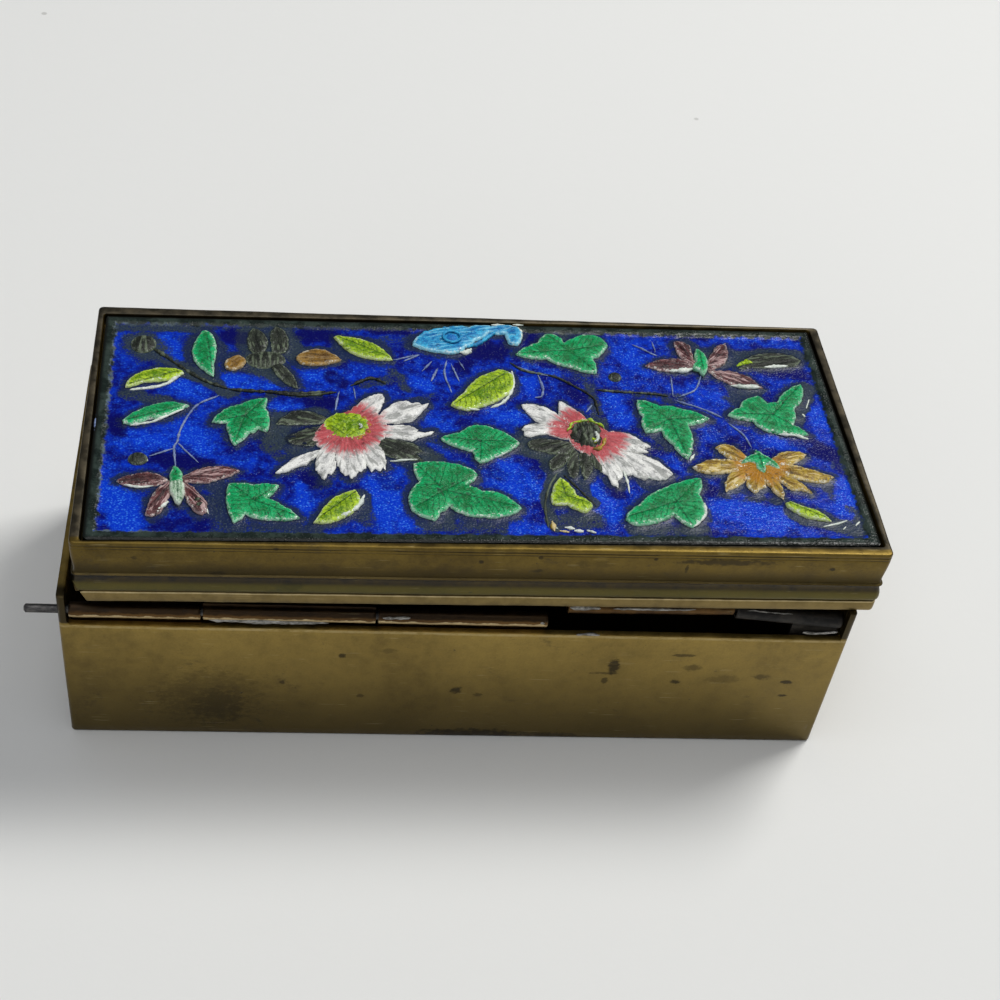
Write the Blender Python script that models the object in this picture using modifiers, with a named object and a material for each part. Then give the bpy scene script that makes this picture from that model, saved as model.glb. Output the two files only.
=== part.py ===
"""Small brass box with a hinged lid and a raised enamel panel set in its top.

The box stands on its underside, with the origin at the middle of that underside.
X runs along the hinge, from the end where the pin sticks out, and Y runs from the hinge side to the far side.
The lid has slipped along its damaged hinge and turned a little, and it is built where it lies.
All sizes are in metres.
"""

import math

import bmesh
import bpy
from mathutils import Matrix, Vector

# Box body
BOX_LENGTH = 0.0900
BOX_WIDTH = 0.0400
BOX_HEIGHT = 0.0234
BOX_WALL = 0.0009
BOX_FLOOR = 0.0010
BOX_CORNER = 0.0005
BOX_FOOT_ROUND = 0.0003

# Lid
LID_HEIGHT = 0.0090
LID_WALL = 0.0009
LID_END_INSET = 0.0002
LID_SIDE_OVERHANG = 0.0001
LID_GAP = 0.0003
LID_CORNER = 0.0006
LID_EDGE_ROUND = 0.0002
LID_TOP_PLATE = 0.0008
LID_SLIP = 0.00167
LID_TURN_DEG = 0.77

# Moulding round the lower edge of the lid, from the bottom up
LIP_BAND = 0.0016
MIDDLE_BAND = 0.0026
GROOVE_WIDTH = 0.0003
GROOVE_DEPTH = 0.0003
MIDDLE_BAND_PROUD = 0.0002
CLIPPED_CORNER_WIDTH = 0.0014
CLIPPED_CORNER_DEPTH = 0.0012

# Hinge
PIN_DIAMETER = 0.0010
PIN_CLEARANCE = 0.0001
PIN_PROUD = 0.0037
PIN_CUT_BACK = 0.0006
PIN_TIP_ROUND = 0.00015
KNUCKLE_WALL = 0.0003
KNUCKLE_LENGTH = 0.0192
KNUCKLE_GAP = 0.0003
HINGE_INSET = 0.0010
HINGE_BELOW_RIM = 0.0029
HINGE_SILL_GAP = 0.0007
LEAF_THICKNESS = 0.0004
LEAF_REACH = 0.0032
LEAF_GAP = 0.0003
LOOSE_KNUCKLE_DROP = 0.0016
LOOSE_LEAF_REACH = 0.0035
BENT_KNUCKLE_BACK = (0.0008, 0.0003)
BENT_KNUCKLE_UP = (0.0013, 0.0005)
BENT_LEAF_LENGTH = 0.0055
SOLDER_LENGTH = 0.0135
SOLDER_START = 0.0006
SOLDER_DROP = 0.0005
SOLDER_THICKNESS = 0.0005

# Enamel panel
BEZEL = 0.0009
PANEL_TURN_DEG = 0.6
PANEL_GAP = 0.0003
PANEL_THICKNESS = 0.0011
PANEL_SINK = 0.00005
PANEL_CORNER = 0.0006
BORDER_WIDTH = 0.0012
BORDER_HEIGHT = 0.0003
RELIEF_ROOT = 0.0003
RELIEF_EDGE = 0.00035
RELIEF_CROWN = 0.00075
RELIEF_CREASE = 0.0002
RELIEF_SHOULDER = 0.45
OUTLINE_BULGE = 0.08
PETAL_STEP = 0.00004
PETAL_BIAS = 1.25
DOME_HEIGHT = 0.0011

# The picture is drawn on a grid of this many units, which is spread over the field inside the border
GRID_LENGTH = 84.8
GRID_WIDTH = 35.4

# Segments of round forms
CORNER_STEPS = 3
TUBE_SIDES = 20
LEAF_STEPS = 6
PETAL_STEPS = 5
DOME_RINGS = 5
DOME_SIDES = 14

# Sizes that follow from the ones above
LID_LENGTH = BOX_LENGTH - 2 * LID_END_INSET
LID_WIDTH = BOX_WIDTH + 2 * LID_SIDE_OVERHANG
LID_BOTTOM = BOX_HEIGHT + LID_GAP
BORE_RADIUS = PIN_DIAMETER / 2 + PIN_CLEARANCE
KNUCKLE_RADIUS = BORE_RADIUS + KNUCKLE_WALL
HINGE_Y = -BOX_WIDTH / 2 + HINGE_INSET
HINGE_Z = BOX_HEIGHT - HINGE_BELOW_RIM
HINGE_WALL_HEIGHT = HINGE_Z - KNUCKLE_RADIUS - HINGE_SILL_GAP
HINGE_SPACE = BOX_LENGTH - 2 * BOX_WALL
END_KNUCKLE_LENGTH = (HINGE_SPACE - 3 * KNUCKLE_LENGTH - 6 * KNUCKLE_GAP) / 2
RECESS_LENGTH = LID_LENGTH - 2 * BEZEL
RECESS_WIDTH = LID_WIDTH - 2 * BEZEL
PANEL_LENGTH = RECESS_LENGTH - 2 * PANEL_GAP
PANEL_WIDTH = RECESS_WIDTH - 2 * PANEL_GAP
FIELD_LENGTH = PANEL_LENGTH - 2 * BORDER_WIDTH
FIELD_WIDTH = PANEL_WIDTH - 2 * BORDER_WIDTH
RECESS_DEPTH = PANEL_SINK + PANEL_THICKNESS + PANEL_GAP
GROUND_Z = LID_HEIGHT - PANEL_SINK - BORDER_HEIGHT

# Plain leaves: base point, tip point and full width
LEAVES = (
    ((-30.6, 7.5), (-31.7, 16.2), 2.9),
    ((-34.0, 8.4), (-40.9, 5.8), 2.7),
    ((-33.0, 2.6), (-40.5, -0.5), 2.4),
    ((-9.4, 11.7), (-16.1, 15.7), 3.3),
    ((4.5, 10.4), (-2.9, 3.4), 4.2),
    ((-13.9, -11.1), (-19.2, -16.3), 3.0),
    ((33.0, 11.7), (41.5, 13.2), 3.2),
    ((33.8, -12.0), (39.0, -15.3), 1.9),
)

# Lobed leaves: the middle, then the tips and notches of the outline in turn, anticlockwise
LOBED_LEAVES = (
    (
        (-26.8, 0.7),
        (
            (-24.3, 4.2), (-27.3, 3.0), (-29.5, 1.6), (-30.5, -0.2), (-28.8, -0.2), (-28.6, -1.9),
            (-27.9, -4.0), (-26.4, -2.1), (-25.2, -1.2), (-24.4, -1.7), (-24.0, 0.5), (-24.5, 2.5),
        ),
    ),
    (
        (-25.7, -13.1),
        (
            (-22.9, -10.4), (-25.6, -10.5), (-28.5, -10.3), (-28.1, -13.2), (-27.8, -16.4),
            (-26.6, -15.0), (-24.5, -15.8), (-20.8, -15.5), (-22.3, -13.9), (-24.3, -12.5),
        ),
    ),
    (
        (0.0, -2.9),
        (
            (4.6, -2.9), (2.7, -1.4), (0.9, -0.1), (-1.0, -0.2), (-2.3, -1.4), (-4.6, -2.3),
            (-3.0, -3.6), (-1.0, -4.4), (-0.3, -6.4), (1.4, -5.5), (3.2, -4.3),
        ),
    ),
    (
        (-4.7, -11.2),
        (
            (-0.7, -8.3), (-2.8, -6.7), (-5.3, -6.7), (-7.9, -6.6), (-7.4, -9.5), (-8.7, -11.9),
            (-8.5, -14.1), (-6.1, -15.7), (-5.4, -14.4), (-4.3, -13.4), (-3.0, -14.6), (-0.7, -15.1),
            (1.8, -14.9), (3.7, -13.7), (1.4, -11.3), (-0.5, -11.0), (-2.1, -10.0),
        ),
    ),
    (
        (12.3, 13.8),
        (
            (17.4, 15.2), (16.5, 16.8), (15.1, 17.2), (13.2, 16.5), (12.0, 15.5), (11.1, 17.1), (9.8, 17.1),
            (8.6, 15.4), (5.7, 13.1), (9.5, 12.4), (12.2, 10.9), (15.3, 9.8), (15.2, 12.5),
        ),
    ),
    (
        (35.6, 2.6),
        (
            (40.4, 8.5), (38.6, 7.5), (36.7, 5.0), (35.4, 4.8), (34.6, 6.1), (32.8, 5.4), (31.8, 3.9),
            (30.1, 2.6), (33.0, 1.6), (34.6, -0.3), (39.3, -0.7), (37.8, 1.0), (38.6, 4.0), (40.3, 6.6),
        ),
    ),
    (
        (22.8, 1.4),
        (
            (27.8, 1.9), (25.0, 3.4), (22.0, 4.0), (19.5, 5.1), (19.7, 2.1), (19.7, -0.7),
            (21.6, -0.3), (22.6, -2.8), (23.9, -5.2), (24.9, -2.9), (25.0, 0.6),
        ),
    ),
    (
        (21.2, -12.6),
        (
            (24.9, -8.4), (22.3, -9.2), (20.2, -10.2), (17.2, -12.7), (15.1, -15.1), (16.3, -16.2),
            (19.0, -15.1), (20.7, -14.5), (22.5, -16.4), (24.2, -14.7), (24.2, -11.1),
        ),
    ),
    (
        (8.8, -11.7),
        (
            (8.6, -8.6), (7.4, -10.9), (7.2, -12.9), (8.9, -13.0),
            (10.9, -14.2), (11.8, -13.1), (10.2, -11.4),
        ),
    ),
)

# The bird's outline from its tail, anticlockwise, and the two ends of the line along its back
BIRD = (
    (-6.8, 14.5), (-5.6, 13.8), (-3.5, 13.2), (-1.5, 13.1), (-0.3, 14.2), (1.0, 15.6),
    (2.8, 17.1), (4.8, 17.0), (5.2, 15.1), (6.2, 14.9), (7.0, 17.5), (6.4, 18.5),
    (3.2, 18.5), (0.4, 18.3), (-2.3, 17.9), (-4.7, 17.0), (-6.4, 15.7),
)
BIRD_BACK = ((-4.0, 15.6), (5.8, 18.0))

# Flowers: the middle, then the tip and the width of each petal
FLOWERS = (
    (
        (-34.0, -9.2),
        (((-40.3, -9.8), 2.0), ((-36.7, -15.1), 1.9), ((-31.0, -14.5), 2.3), ((-27.6, -8.0), 2.4)),
    ),
    (
        (-14.9, -1.0),
        (
            ((-10.8, 5.3), 3.2), ((-5.8, 3.8), 4.6), ((-5.4, -0.8), 3.6),
            ((-6.9, -5.5), 3.6), ((-11.1, -7.6), 3.0), ((-15.0, -9.3), 3.2),
            ((-17.6, -8.9), 3.0), ((-23.1, -8.2), 3.0), ((-22.0, -2.8), 3.8),
        ),
    ),
    (
        (12.6, -1.3),
        (
            ((10.1, 4.6), 3.4), ((5.6, 3.9), 3.8), ((4.9, -0.7), 3.0), ((5.3, -2.9), 3.2),
            ((7.7, -6.9), 3.2), ((11.4, -8.8), 3.2), ((15.0, -10.0), 3.6), ((21.7, -7.8), 4.6),
            ((19.8, -3.0), 3.8), ((17.0, -0.8), 3.0),
        ),
    ),
    ((28.5, 11.7), (((21.4, 11.6), 2.8), ((26.2, 16.0), 2.2), ((32.2, 16.0), 2.4), ((35.4, 7.8), 2.8))),
    (
        (32.3, -6.6),
        (
            ((27.9, -2.7), 3.0), ((24.2, -6.5), 3.0), ((27.5, -10.5), 3.0), ((30.9, -10.7), 2.6),
            ((33.8, -11.6), 2.6), ((37.4, -10.6), 2.8), ((40.5, -8.1), 3.0), ((38.1, -4.2), 2.8),
        ),
    ),
)

# Calyxes and the insect's wings and legs: leaf forms again, which stand a little higher
HIGH_LEAVES = (
    ((-34.5, -7.8), (-33.7, -13.6), 1.2),
    ((28.8, 14.7), (28.4, 10.0), 1.7),
    ((32.3, -3.9), (32.4, -7.8), 1.8),
    ((32.4, -4.9), (29.9, -5.9), 1.3),
    ((32.3, -5.1), (34.5, -7.1), 1.4),
    ((-21.5, 11.4), (-15.5, 11.2), 2.6),
    ((-26.9, 11.2), (-29.5, 10.2), 2.3),
    ((-22.9, 12.4), (-22.1, 17.5), 2.0),
    ((-25.5, 12.3), (-26.1, 16.7), 2.6),
    ((-23.1, 9.8), (-20.7, 5.8), 0.9),
)

# Domes: the middle, the radius across and along, and the height as a share of a flower's heart
DOMES = (
    ((-15.0, -1.0), 2.7, 2.4, 1.0),
    ((12.7, -1.1), 2.3, 2.1, 1.0),
    ((-24.5, 11.3), 2.4, 1.6, 0.7),
    ((-38.9, 13.8), 1.6, 1.7, 0.7),
    ((-38.5, -6.3), 0.9, 0.9, 0.5),
    ((17.5, 9.4), 0.8, 0.8, 0.5),
    ((-1.8, 15.7), 1.2, 1.2, 0.9),
)


def clear_scene():
    """Removes every object, so that the model starts from nothing."""
    for obj in list(bpy.data.objects):
        bpy.data.objects.remove(obj, do_unlink=True)


def make_collection(name):
    """Returns a new collection in the scene."""
    collection = bpy.data.collections.new(name)
    bpy.context.scene.collection.children.link(collection)
    return collection


def make_material(name, color, roughness, metallic):
    """Returns a Principled material."""
    material = bpy.data.materials.new(name)
    material.use_nodes = True
    shader = material.node_tree.nodes["Principled BSDF"]
    shader.inputs["Base Color"].default_value = (*color, 1.0)
    shader.inputs["Roughness"].default_value = roughness
    shader.inputs["Metallic"].default_value = metallic
    return material


def add_mesh(name, bm, collection, material=None):
    """Turns a bmesh into an object with smooth round faces and sharp edges."""
    bmesh.ops.recalc_face_normals(bm, faces=bm.faces)
    mesh = bpy.data.meshes.new(name)
    bm.to_mesh(mesh)
    bm.free()
    mesh.shade_smooth()
    mesh.set_sharp_from_angle(angle=math.radians(35))
    if material:
        mesh.materials.append(material)
    obj = bpy.data.objects.new(name, mesh)
    collection.objects.link(obj)
    return obj


def add_cutter(name, bm, collection):
    """Turns a bmesh into a guide that is only used by a Boolean."""
    obj = add_mesh(name, bm, collection)
    obj.hide_render = True
    obj.display_type = "WIRE"
    return obj


def add_boolean(obj, other, operation, overlapping=False):
    """Adds a Boolean with another object to an object."""
    modifier = obj.modifiers.new(other.name, "BOOLEAN")
    modifier.operation = operation
    modifier.solver = "EXACT"
    modifier.use_self = overlapping
    modifier.object = other


def rounded_rectangle(length, width, corner, turn_deg=0.0):
    """Returns the corners of a rounded rectangle round the origin, anticlockwise."""
    points = []
    turn = Matrix.Rotation(math.radians(turn_deg), 2)
    for quarter, (sx, sy) in enumerate(((1, 1), (-1, 1), (-1, -1), (1, -1))):
        middle = Vector((sx * (length / 2 - corner), sy * (width / 2 - corner)))
        for step in range(CORNER_STEPS + 1):
            angle = math.pi / 2 * (quarter + step / CORNER_STEPS)
            points.append(turn @ (middle + corner * Vector((math.cos(angle), math.sin(angle)))))
    return points


def loft(rings):
    """Returns a closed bmesh through rings of equal count, each a list of points and a height."""
    bm = bmesh.new()
    rows = [[bm.verts.new((p.x, p.y, z)) for p in points] for points, z in rings]
    for lower, upper in zip(rows, rows[1:]):
        for i in range(len(lower)):
            j = (i + 1) % len(lower)
            bm.faces.new((lower[i], lower[j], upper[j], upper[i]))
    bm.faces.new(reversed(rows[0]))
    bm.faces.new(rows[-1])
    return bm


def cube(size, middle):
    """Returns a bmesh box of a size round a middle."""
    bm = bmesh.new()
    bmesh.ops.create_cube(bm, size=1.0)
    bmesh.ops.scale(bm, vec=size, verts=bm.verts)
    bmesh.ops.translate(bm, vec=middle, verts=bm.verts)
    return bm


def rod(radius, start, end, sides=TUBE_SIDES):
    """Returns a bmesh cylinder between two points."""
    start, end = Vector(start), Vector(end)
    bm = bmesh.new()
    bmesh.ops.create_cone(
        bm, cap_ends=True, segments=sides, radius1=radius, radius2=radius, depth=(end - start).length
    )
    turn = (end - start).to_track_quat("Z", "Y").to_matrix().to_4x4()
    bmesh.ops.transform(bm, matrix=Matrix.Translation((start + end) / 2) @ turn, verts=bm.verts)
    return bm


def make_box(parts, cutters, brass):
    """Builds the hollow body of the box, with its low hinge side and the hole for the pin."""
    inner_length = BOX_LENGTH - 2 * BOX_WALL
    inner_width = BOX_WIDTH - 2 * BOX_WALL
    inner_corner = BOX_CORNER / 2
    outer = rounded_rectangle(BOX_LENGTH, BOX_WIDTH, BOX_CORNER)
    foot = rounded_rectangle(BOX_LENGTH - 2 * BOX_FOOT_ROUND, BOX_WIDTH - 2 * BOX_FOOT_ROUND, BOX_CORNER)
    inner = rounded_rectangle(inner_length, inner_width, inner_corner)
    outside = ((foot, 0.0), (outer, BOX_FOOT_ROUND), (outer, BOX_HEIGHT))
    inside = ((inner, BOX_HEIGHT), (inner, BOX_FLOOR))
    body = add_mesh("base_box", loft(outside + inside), parts, brass)
    notch_height = 2 * (BOX_HEIGHT - HINGE_WALL_HEIGHT)
    notch = cube(
        (HINGE_SPACE, 4 * BOX_WALL, notch_height),
        (0, -BOX_WIDTH / 2, HINGE_WALL_HEIGHT + notch_height / 2),
    )
    add_boolean(body, add_cutter("hinge_notch", notch, cutters), "DIFFERENCE")
    hole_radius = BORE_RADIUS + PIN_CLEARANCE / 2
    hole = rod(
        hole_radius,
        (-BOX_LENGTH / 2 - BOX_WALL, HINGE_Y, HINGE_Z),
        (-BOX_LENGTH / 2 + 2 * BOX_WALL, HINGE_Y, HINGE_Z),
    )
    add_boolean(body, add_cutter("pin_hole", hole, cutters), "DIFFERENCE")
    return body


def make_tube(name, start, end, leaf, parts, cutters, material, extra=None):
    """Builds a hinge knuckle: a tube between two points, joined to its flat leaf and then bored."""
    tube = add_mesh(name, rod(KNUCKLE_RADIUS, start, end), parts, material)
    add_boolean(tube, add_cutter(name + "_leaf", leaf, cutters), "UNION")
    if extra:
        add_boolean(tube, add_cutter(name + "_solder", extra, cutters), "UNION")
    along = (Vector(end) - Vector(start)).normalized() * KNUCKLE_GAP
    bore = rod(BORE_RADIUS, Vector(start) - along, Vector(end) + along)
    add_boolean(tube, add_cutter(name + "_bore", bore, cutters), "DIFFERENCE")
    return tube


def base_leaf(low_x, high_x):
    """Returns the leaf that holds a knuckle to the inner face of the hinge side."""
    front = -BOX_WIDTH / 2 + BOX_WALL + LEAF_GAP
    bottom = HINGE_WALL_HEIGHT - LEAF_REACH
    return cube(
        (high_x - low_x, LEAF_THICKNESS, HINGE_Z - bottom),
        ((low_x + high_x) / 2, front + LEAF_THICKNESS / 2, (bottom + HINGE_Z) / 2),
    )


def knuckle_spans():
    """Returns where each of the five knuckles starts and ends along the hinge, before the lid slipped."""
    spans = []
    at = -HINGE_SPACE / 2 + KNUCKLE_GAP
    for index in range(5):
        length = END_KNUCKLE_LENGTH if index in (0, 4) else KNUCKLE_LENGTH
        spans.append((at, at + length))
        at += length + KNUCKLE_GAP
    return spans


def make_base_knuckles(parts, cutters, brass, burnt):
    """Builds the knuckles that stay with the box: two sound ones, one torn off the lid and a bent one."""
    first, second, third, loose, last = knuckle_spans()
    for name, (low, high) in (("hinge_knuckle_a", first), ("hinge_knuckle_c", third)):
        start, end = (low, HINGE_Y, HINGE_Z), (high, HINGE_Y, HINGE_Z)
        make_tube(name, start, end, base_leaf(low, high), parts, cutters, brass)
    low, high = second
    stub_height = KNUCKLE_RADIUS + LEAF_THICKNESS
    stub = cube(
        (high - low, LEAF_THICKNESS, stub_height),
        ((low + high) / 2, HINGE_Y + LEAF_THICKNESS / 2, HINGE_Z + stub_height / 2),
    )
    solder_height = KNUCKLE_RADIUS + SOLDER_DROP
    solder = cube(
        (SOLDER_LENGTH, SOLDER_THICKNESS, solder_height),
        (
            low + SOLDER_START + SOLDER_LENGTH / 2,
            HINGE_Y - BORE_RADIUS / 2,
            HINGE_Z - solder_height / 2,
        ),
    )
    start, end = (low, HINGE_Y, HINGE_Z), (high, HINGE_Y, HINGE_Z)
    make_tube("hinge_knuckle_b", start, end, stub, parts, cutters, brass, solder)
    start = loose[1] + LID_SLIP + 2 * KNUCKLE_GAP
    make_tube(
        "hinge_knuckle_e",
        (start, HINGE_Y + BENT_KNUCKLE_BACK[0], HINGE_Z + BENT_KNUCKLE_UP[0]),
        (last[1], HINGE_Y + BENT_KNUCKLE_BACK[1], HINGE_Z + BENT_KNUCKLE_UP[1]),
        base_leaf(last[1] - BENT_LEAF_LENGTH, last[1]),
        parts,
        cutters,
        burnt,
    )


def make_pin(parts, steel):
    """Builds the pin, which has worked out of the box and ends inside the third knuckle."""
    end = knuckle_spans()[2][1] - PIN_CUT_BACK
    pin = add_mesh(
        "hinge_pin",
        rod(PIN_DIAMETER / 2, (-BOX_LENGTH / 2 - PIN_PROUD, HINGE_Y, HINGE_Z), (end, HINGE_Y, HINGE_Z)),
        parts,
        steel,
    )
    bevel = pin.modifiers.new("tip_round", "BEVEL")
    bevel.width = PIN_TIP_ROUND
    bevel.segments = 1
    bevel.limit_method = "ANGLE"
    bevel.angle_limit = math.radians(60)
    return pin


def lid_outline():
    """Returns the lid's rings: down the inside from its ceiling, up the moulded outside, into the recess."""
    def ring(inset, corner=LID_CORNER):
        return rounded_rectangle(LID_LENGTH - 2 * inset, LID_WIDTH - 2 * inset, corner)

    ceiling = LID_HEIGHT - RECESS_DEPTH - LID_TOP_PLATE
    recess = rounded_rectangle(RECESS_LENGTH, RECESS_WIDTH, PANEL_CORNER + PANEL_GAP, PANEL_TURN_DEG)
    lip_top = LIP_BAND
    band_bottom = lip_top + GROOVE_WIDTH
    band_top = lip_top + MIDDLE_BAND
    face_bottom = band_top + GROOVE_WIDTH
    return (
        (ring(LID_WALL, LID_CORNER / 2), ceiling),
        (ring(LID_WALL, LID_CORNER / 2), 0.0),
        (ring(LID_EDGE_ROUND), 0.0),
        (ring(0.0), LID_EDGE_ROUND),
        (ring(0.0), lip_top),
        (ring(GROOVE_DEPTH), lip_top + GROOVE_WIDTH / 3),
        (ring(-MIDDLE_BAND_PROUD), band_bottom + GROOVE_WIDTH),
        (ring(-MIDDLE_BAND_PROUD), band_top - GROOVE_WIDTH),
        (ring(GROOVE_DEPTH), band_top + GROOVE_WIDTH / 3),
        (ring(0.0), face_bottom),
        (ring(0.0), LID_HEIGHT - LID_EDGE_ROUND),
        (ring(LID_EDGE_ROUND), LID_HEIGHT),
        (recess, LID_HEIGHT),
        (recess, LID_HEIGHT - RECESS_DEPTH),
    )


def make_lid(parts, cutters, brass):
    """Builds the lid's frame, with the corner of its moulding clipped at the pin's end of the hinge side."""
    lid = add_mesh("lid_frame", loft(lid_outline()), parts, brass)
    corner = Vector((-LID_LENGTH / 2, -LID_WIDTH / 2, 0.0))
    height = LIP_BAND + MIDDLE_BAND
    overlap = MIDDLE_BAND_PROUD + LID_END_INSET
    wedge = bmesh.new()
    clip = CLIPPED_CORNER_WIDTH
    profile = ((-overlap, -overlap), (clip, -overlap), (clip, 0.0), (-overlap, height))
    near = [wedge.verts.new(corner + Vector((x, -overlap, z))) for x, z in profile]
    face = wedge.faces.new(near)
    far = bmesh.ops.extrude_face_region(wedge, geom=[face])
    moved = [item for item in far["geom"] if isinstance(item, bmesh.types.BMVert)]
    bmesh.ops.translate(wedge, vec=(0, overlap + CLIPPED_CORNER_DEPTH, 0), verts=moved)
    add_boolean(lid, add_cutter("clipped_corner", wedge, cutters), "DIFFERENCE")
    return lid


def make_lid_knuckle(parts, cutters, brass):
    """Builds the knuckle that is still on the lid, which has slipped off the pin and up."""
    low, high = knuckle_spans()[3]
    front = -LID_WIDTH / 2 + LID_WALL + LEAF_GAP
    leaf = cube(
        (high - low, LEAF_THICKNESS, LOOSE_KNUCKLE_DROP + LOOSE_LEAF_REACH),
        ((low + high) / 2, front + LEAF_THICKNESS / 2, (LOOSE_LEAF_REACH - LOOSE_KNUCKLE_DROP) / 2),
    )
    middle = front + KNUCKLE_RADIUS - LEAF_THICKNESS
    return make_tube(
        "hinge_knuckle_d", (low, middle, -LOOSE_KNUCKLE_DROP), (high, middle, -LOOSE_KNUCKLE_DROP),
        leaf, parts, cutters, brass,
    )


def grid_point(x, y):
    """Returns where a point of the picture's grid lies on the panel."""
    return Vector((x * FIELD_LENGTH / GRID_LENGTH, y * FIELD_WIDTH / GRID_WIDTH))


def raise_relief(bm, outline, spine, levels):
    """Adds one raised form to a bmesh, through rings that draw in from the outline towards a spine."""
    rows = []
    for share, height in levels:
        row = []
        for point, middle in zip(outline, spine):
            place = grid_point(*point.lerp(middle, share))
            row.append(bm.verts.new((place.x, place.y, GROUND_Z + height)))
        rows.append(row)
    for lower, upper in zip(rows, rows[1:]):
        for i in range(len(lower)):
            j = (i + 1) % len(lower)
            bm.faces.new((lower[i], lower[j], upper[j], upper[i]))
    bm.faces.new(reversed(rows[0]))
    if levels[-1][0] < 1:
        bm.faces.new(rows[-1])


def add_leaf(bm, base, tip, width, lift=0.0, crease=RELIEF_CREASE, steps=LEAF_STEPS, bias=1.0):
    """Adds a pointed leaf or petal. Its halves mirror each other, and a bias over 1 fills out its tip."""
    base, tip = Vector(base), Vector(tip)
    along = tip - base
    across = Vector((-along.y, along.x)).normalized() * width / 2
    shares = [step / steps for step in range(steps + 1)]
    swell = [math.sin(math.pi * share**bias) ** 0.8 if 0 < share < 1 else 0.0 for share in shares]
    right = [(base + along * share - across * size, share) for share, size in zip(shares, swell)]
    left = [(base + along * share + across * size, share) for share, size in zip(shares, swell)]
    points = right + left[-2:0:-1]
    spine = [base + along * min(max(share, 1 / steps), 1 - 1 / steps) for _, share in points]
    crown = RELIEF_CROWN + lift
    levels = ((0.0, -RELIEF_ROOT), (0.0, RELIEF_EDGE + lift), (RELIEF_SHOULDER, crown), (1.0, crown - crease))
    raise_relief(bm, [point for point, _ in points], spine, levels)


def add_outlined(bm, corners, back):
    """Adds a raised form with its own outline, whose sides bulge a little, and a flat top along its back."""
    corners = [Vector(corner) for corner in corners]
    outline = []
    for corner, following in zip(corners, corners[1:] + corners[:1]):
        side = following - corner
        outline.append(corner)
        outline.append(corner + side / 2 + Vector((side.y, -side.x)) * OUTLINE_BULGE)
    start, end = Vector(back[0]), Vector(back[-1])
    line = end - start
    reach = max(line.length_squared, 1e-9)
    spine = [start + line * min(max((point - start).dot(line) / reach, 0.0), 1.0) for point in outline]
    levels = ((0.0, -RELIEF_ROOT), (0.0, RELIEF_EDGE), (RELIEF_SHOULDER, RELIEF_CROWN))
    raise_relief(bm, outline, spine, levels)


def add_dome(bm, middle, radius_x, radius_y, height):
    """Adds the upper part of a flattened ball, set into the ground."""
    place = grid_point(*middle)
    size = grid_point(radius_x, radius_y)
    made = bmesh.ops.create_uvsphere(bm, u_segments=DOME_SIDES, v_segments=DOME_RINGS * 2 - 2, radius=1.0)
    bmesh.ops.scale(bm, vec=(size.x, size.y, height), verts=made["verts"])
    for vert in made["verts"]:
        vert.co.z = max(vert.co.z, -RELIEF_ROOT)
    bmesh.ops.translate(bm, vec=(place.x, place.y, GROUND_Z), verts=made["verts"])


def make_picture(cutters):
    """Builds every raised form of the picture as one guide, which is joined to the panel."""
    bm = bmesh.new()
    for leaf in LEAVES:
        add_leaf(bm, *leaf)
    for middle, corners in LOBED_LEAVES:
        add_outlined(bm, corners, (middle,))
    add_outlined(bm, BIRD, BIRD_BACK)
    for middle, petals in FLOWERS:
        for index, (tip, width) in enumerate(petals):
            lift = PETAL_STEP * (index % 3)
            add_leaf(bm, middle, tip, width, lift, RELIEF_CREASE / 2, PETAL_STEPS, PETAL_BIAS)
    for leaf in HIGH_LEAVES:
        add_leaf(bm, *leaf, lift=RELIEF_CREASE, crease=0.0)
    for middle, radius_x, radius_y, share in DOMES:
        add_dome(bm, middle, radius_x, radius_y, DOME_HEIGHT * share)
    bmesh.ops.remove_doubles(bm, verts=bm.verts, dist=1e-7)
    bmesh.ops.dissolve_degenerate(bm, edges=bm.edges, dist=1e-8)
    return add_cutter("picture", bm, cutters)


def make_panel(parts, cutters, enamel):
    """Builds the enamel panel: a plate with a raised border, joined to the picture."""
    outer = rounded_rectangle(PANEL_LENGTH, PANEL_WIDTH, PANEL_CORNER)
    field = rounded_rectangle(FIELD_LENGTH, FIELD_WIDTH, PANEL_CORNER / 2)
    crest = rounded_rectangle(FIELD_LENGTH + BORDER_WIDTH, FIELD_WIDTH + BORDER_WIDTH, PANEL_CORNER)
    top = GROUND_Z + BORDER_HEIGHT
    bottom = top - PANEL_THICKNESS
    panel = add_mesh(
        "enamel_panel",
        loft(((outer, bottom), (outer, top - BORDER_HEIGHT / 2), (crest, top), (field, GROUND_Z))),
        parts,
        enamel,
    )
    add_boolean(panel, make_picture(cutters), "UNION", overlapping=True)
    return panel


def hang_on(obj, parent, matrix):
    """Parents an object that was built in the lid's own axes, and moves it to where the lid lies."""
    obj.parent = parent
    obj.matrix_parent_inverse = parent.matrix_world.inverted()
    obj.matrix_world = matrix


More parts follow.
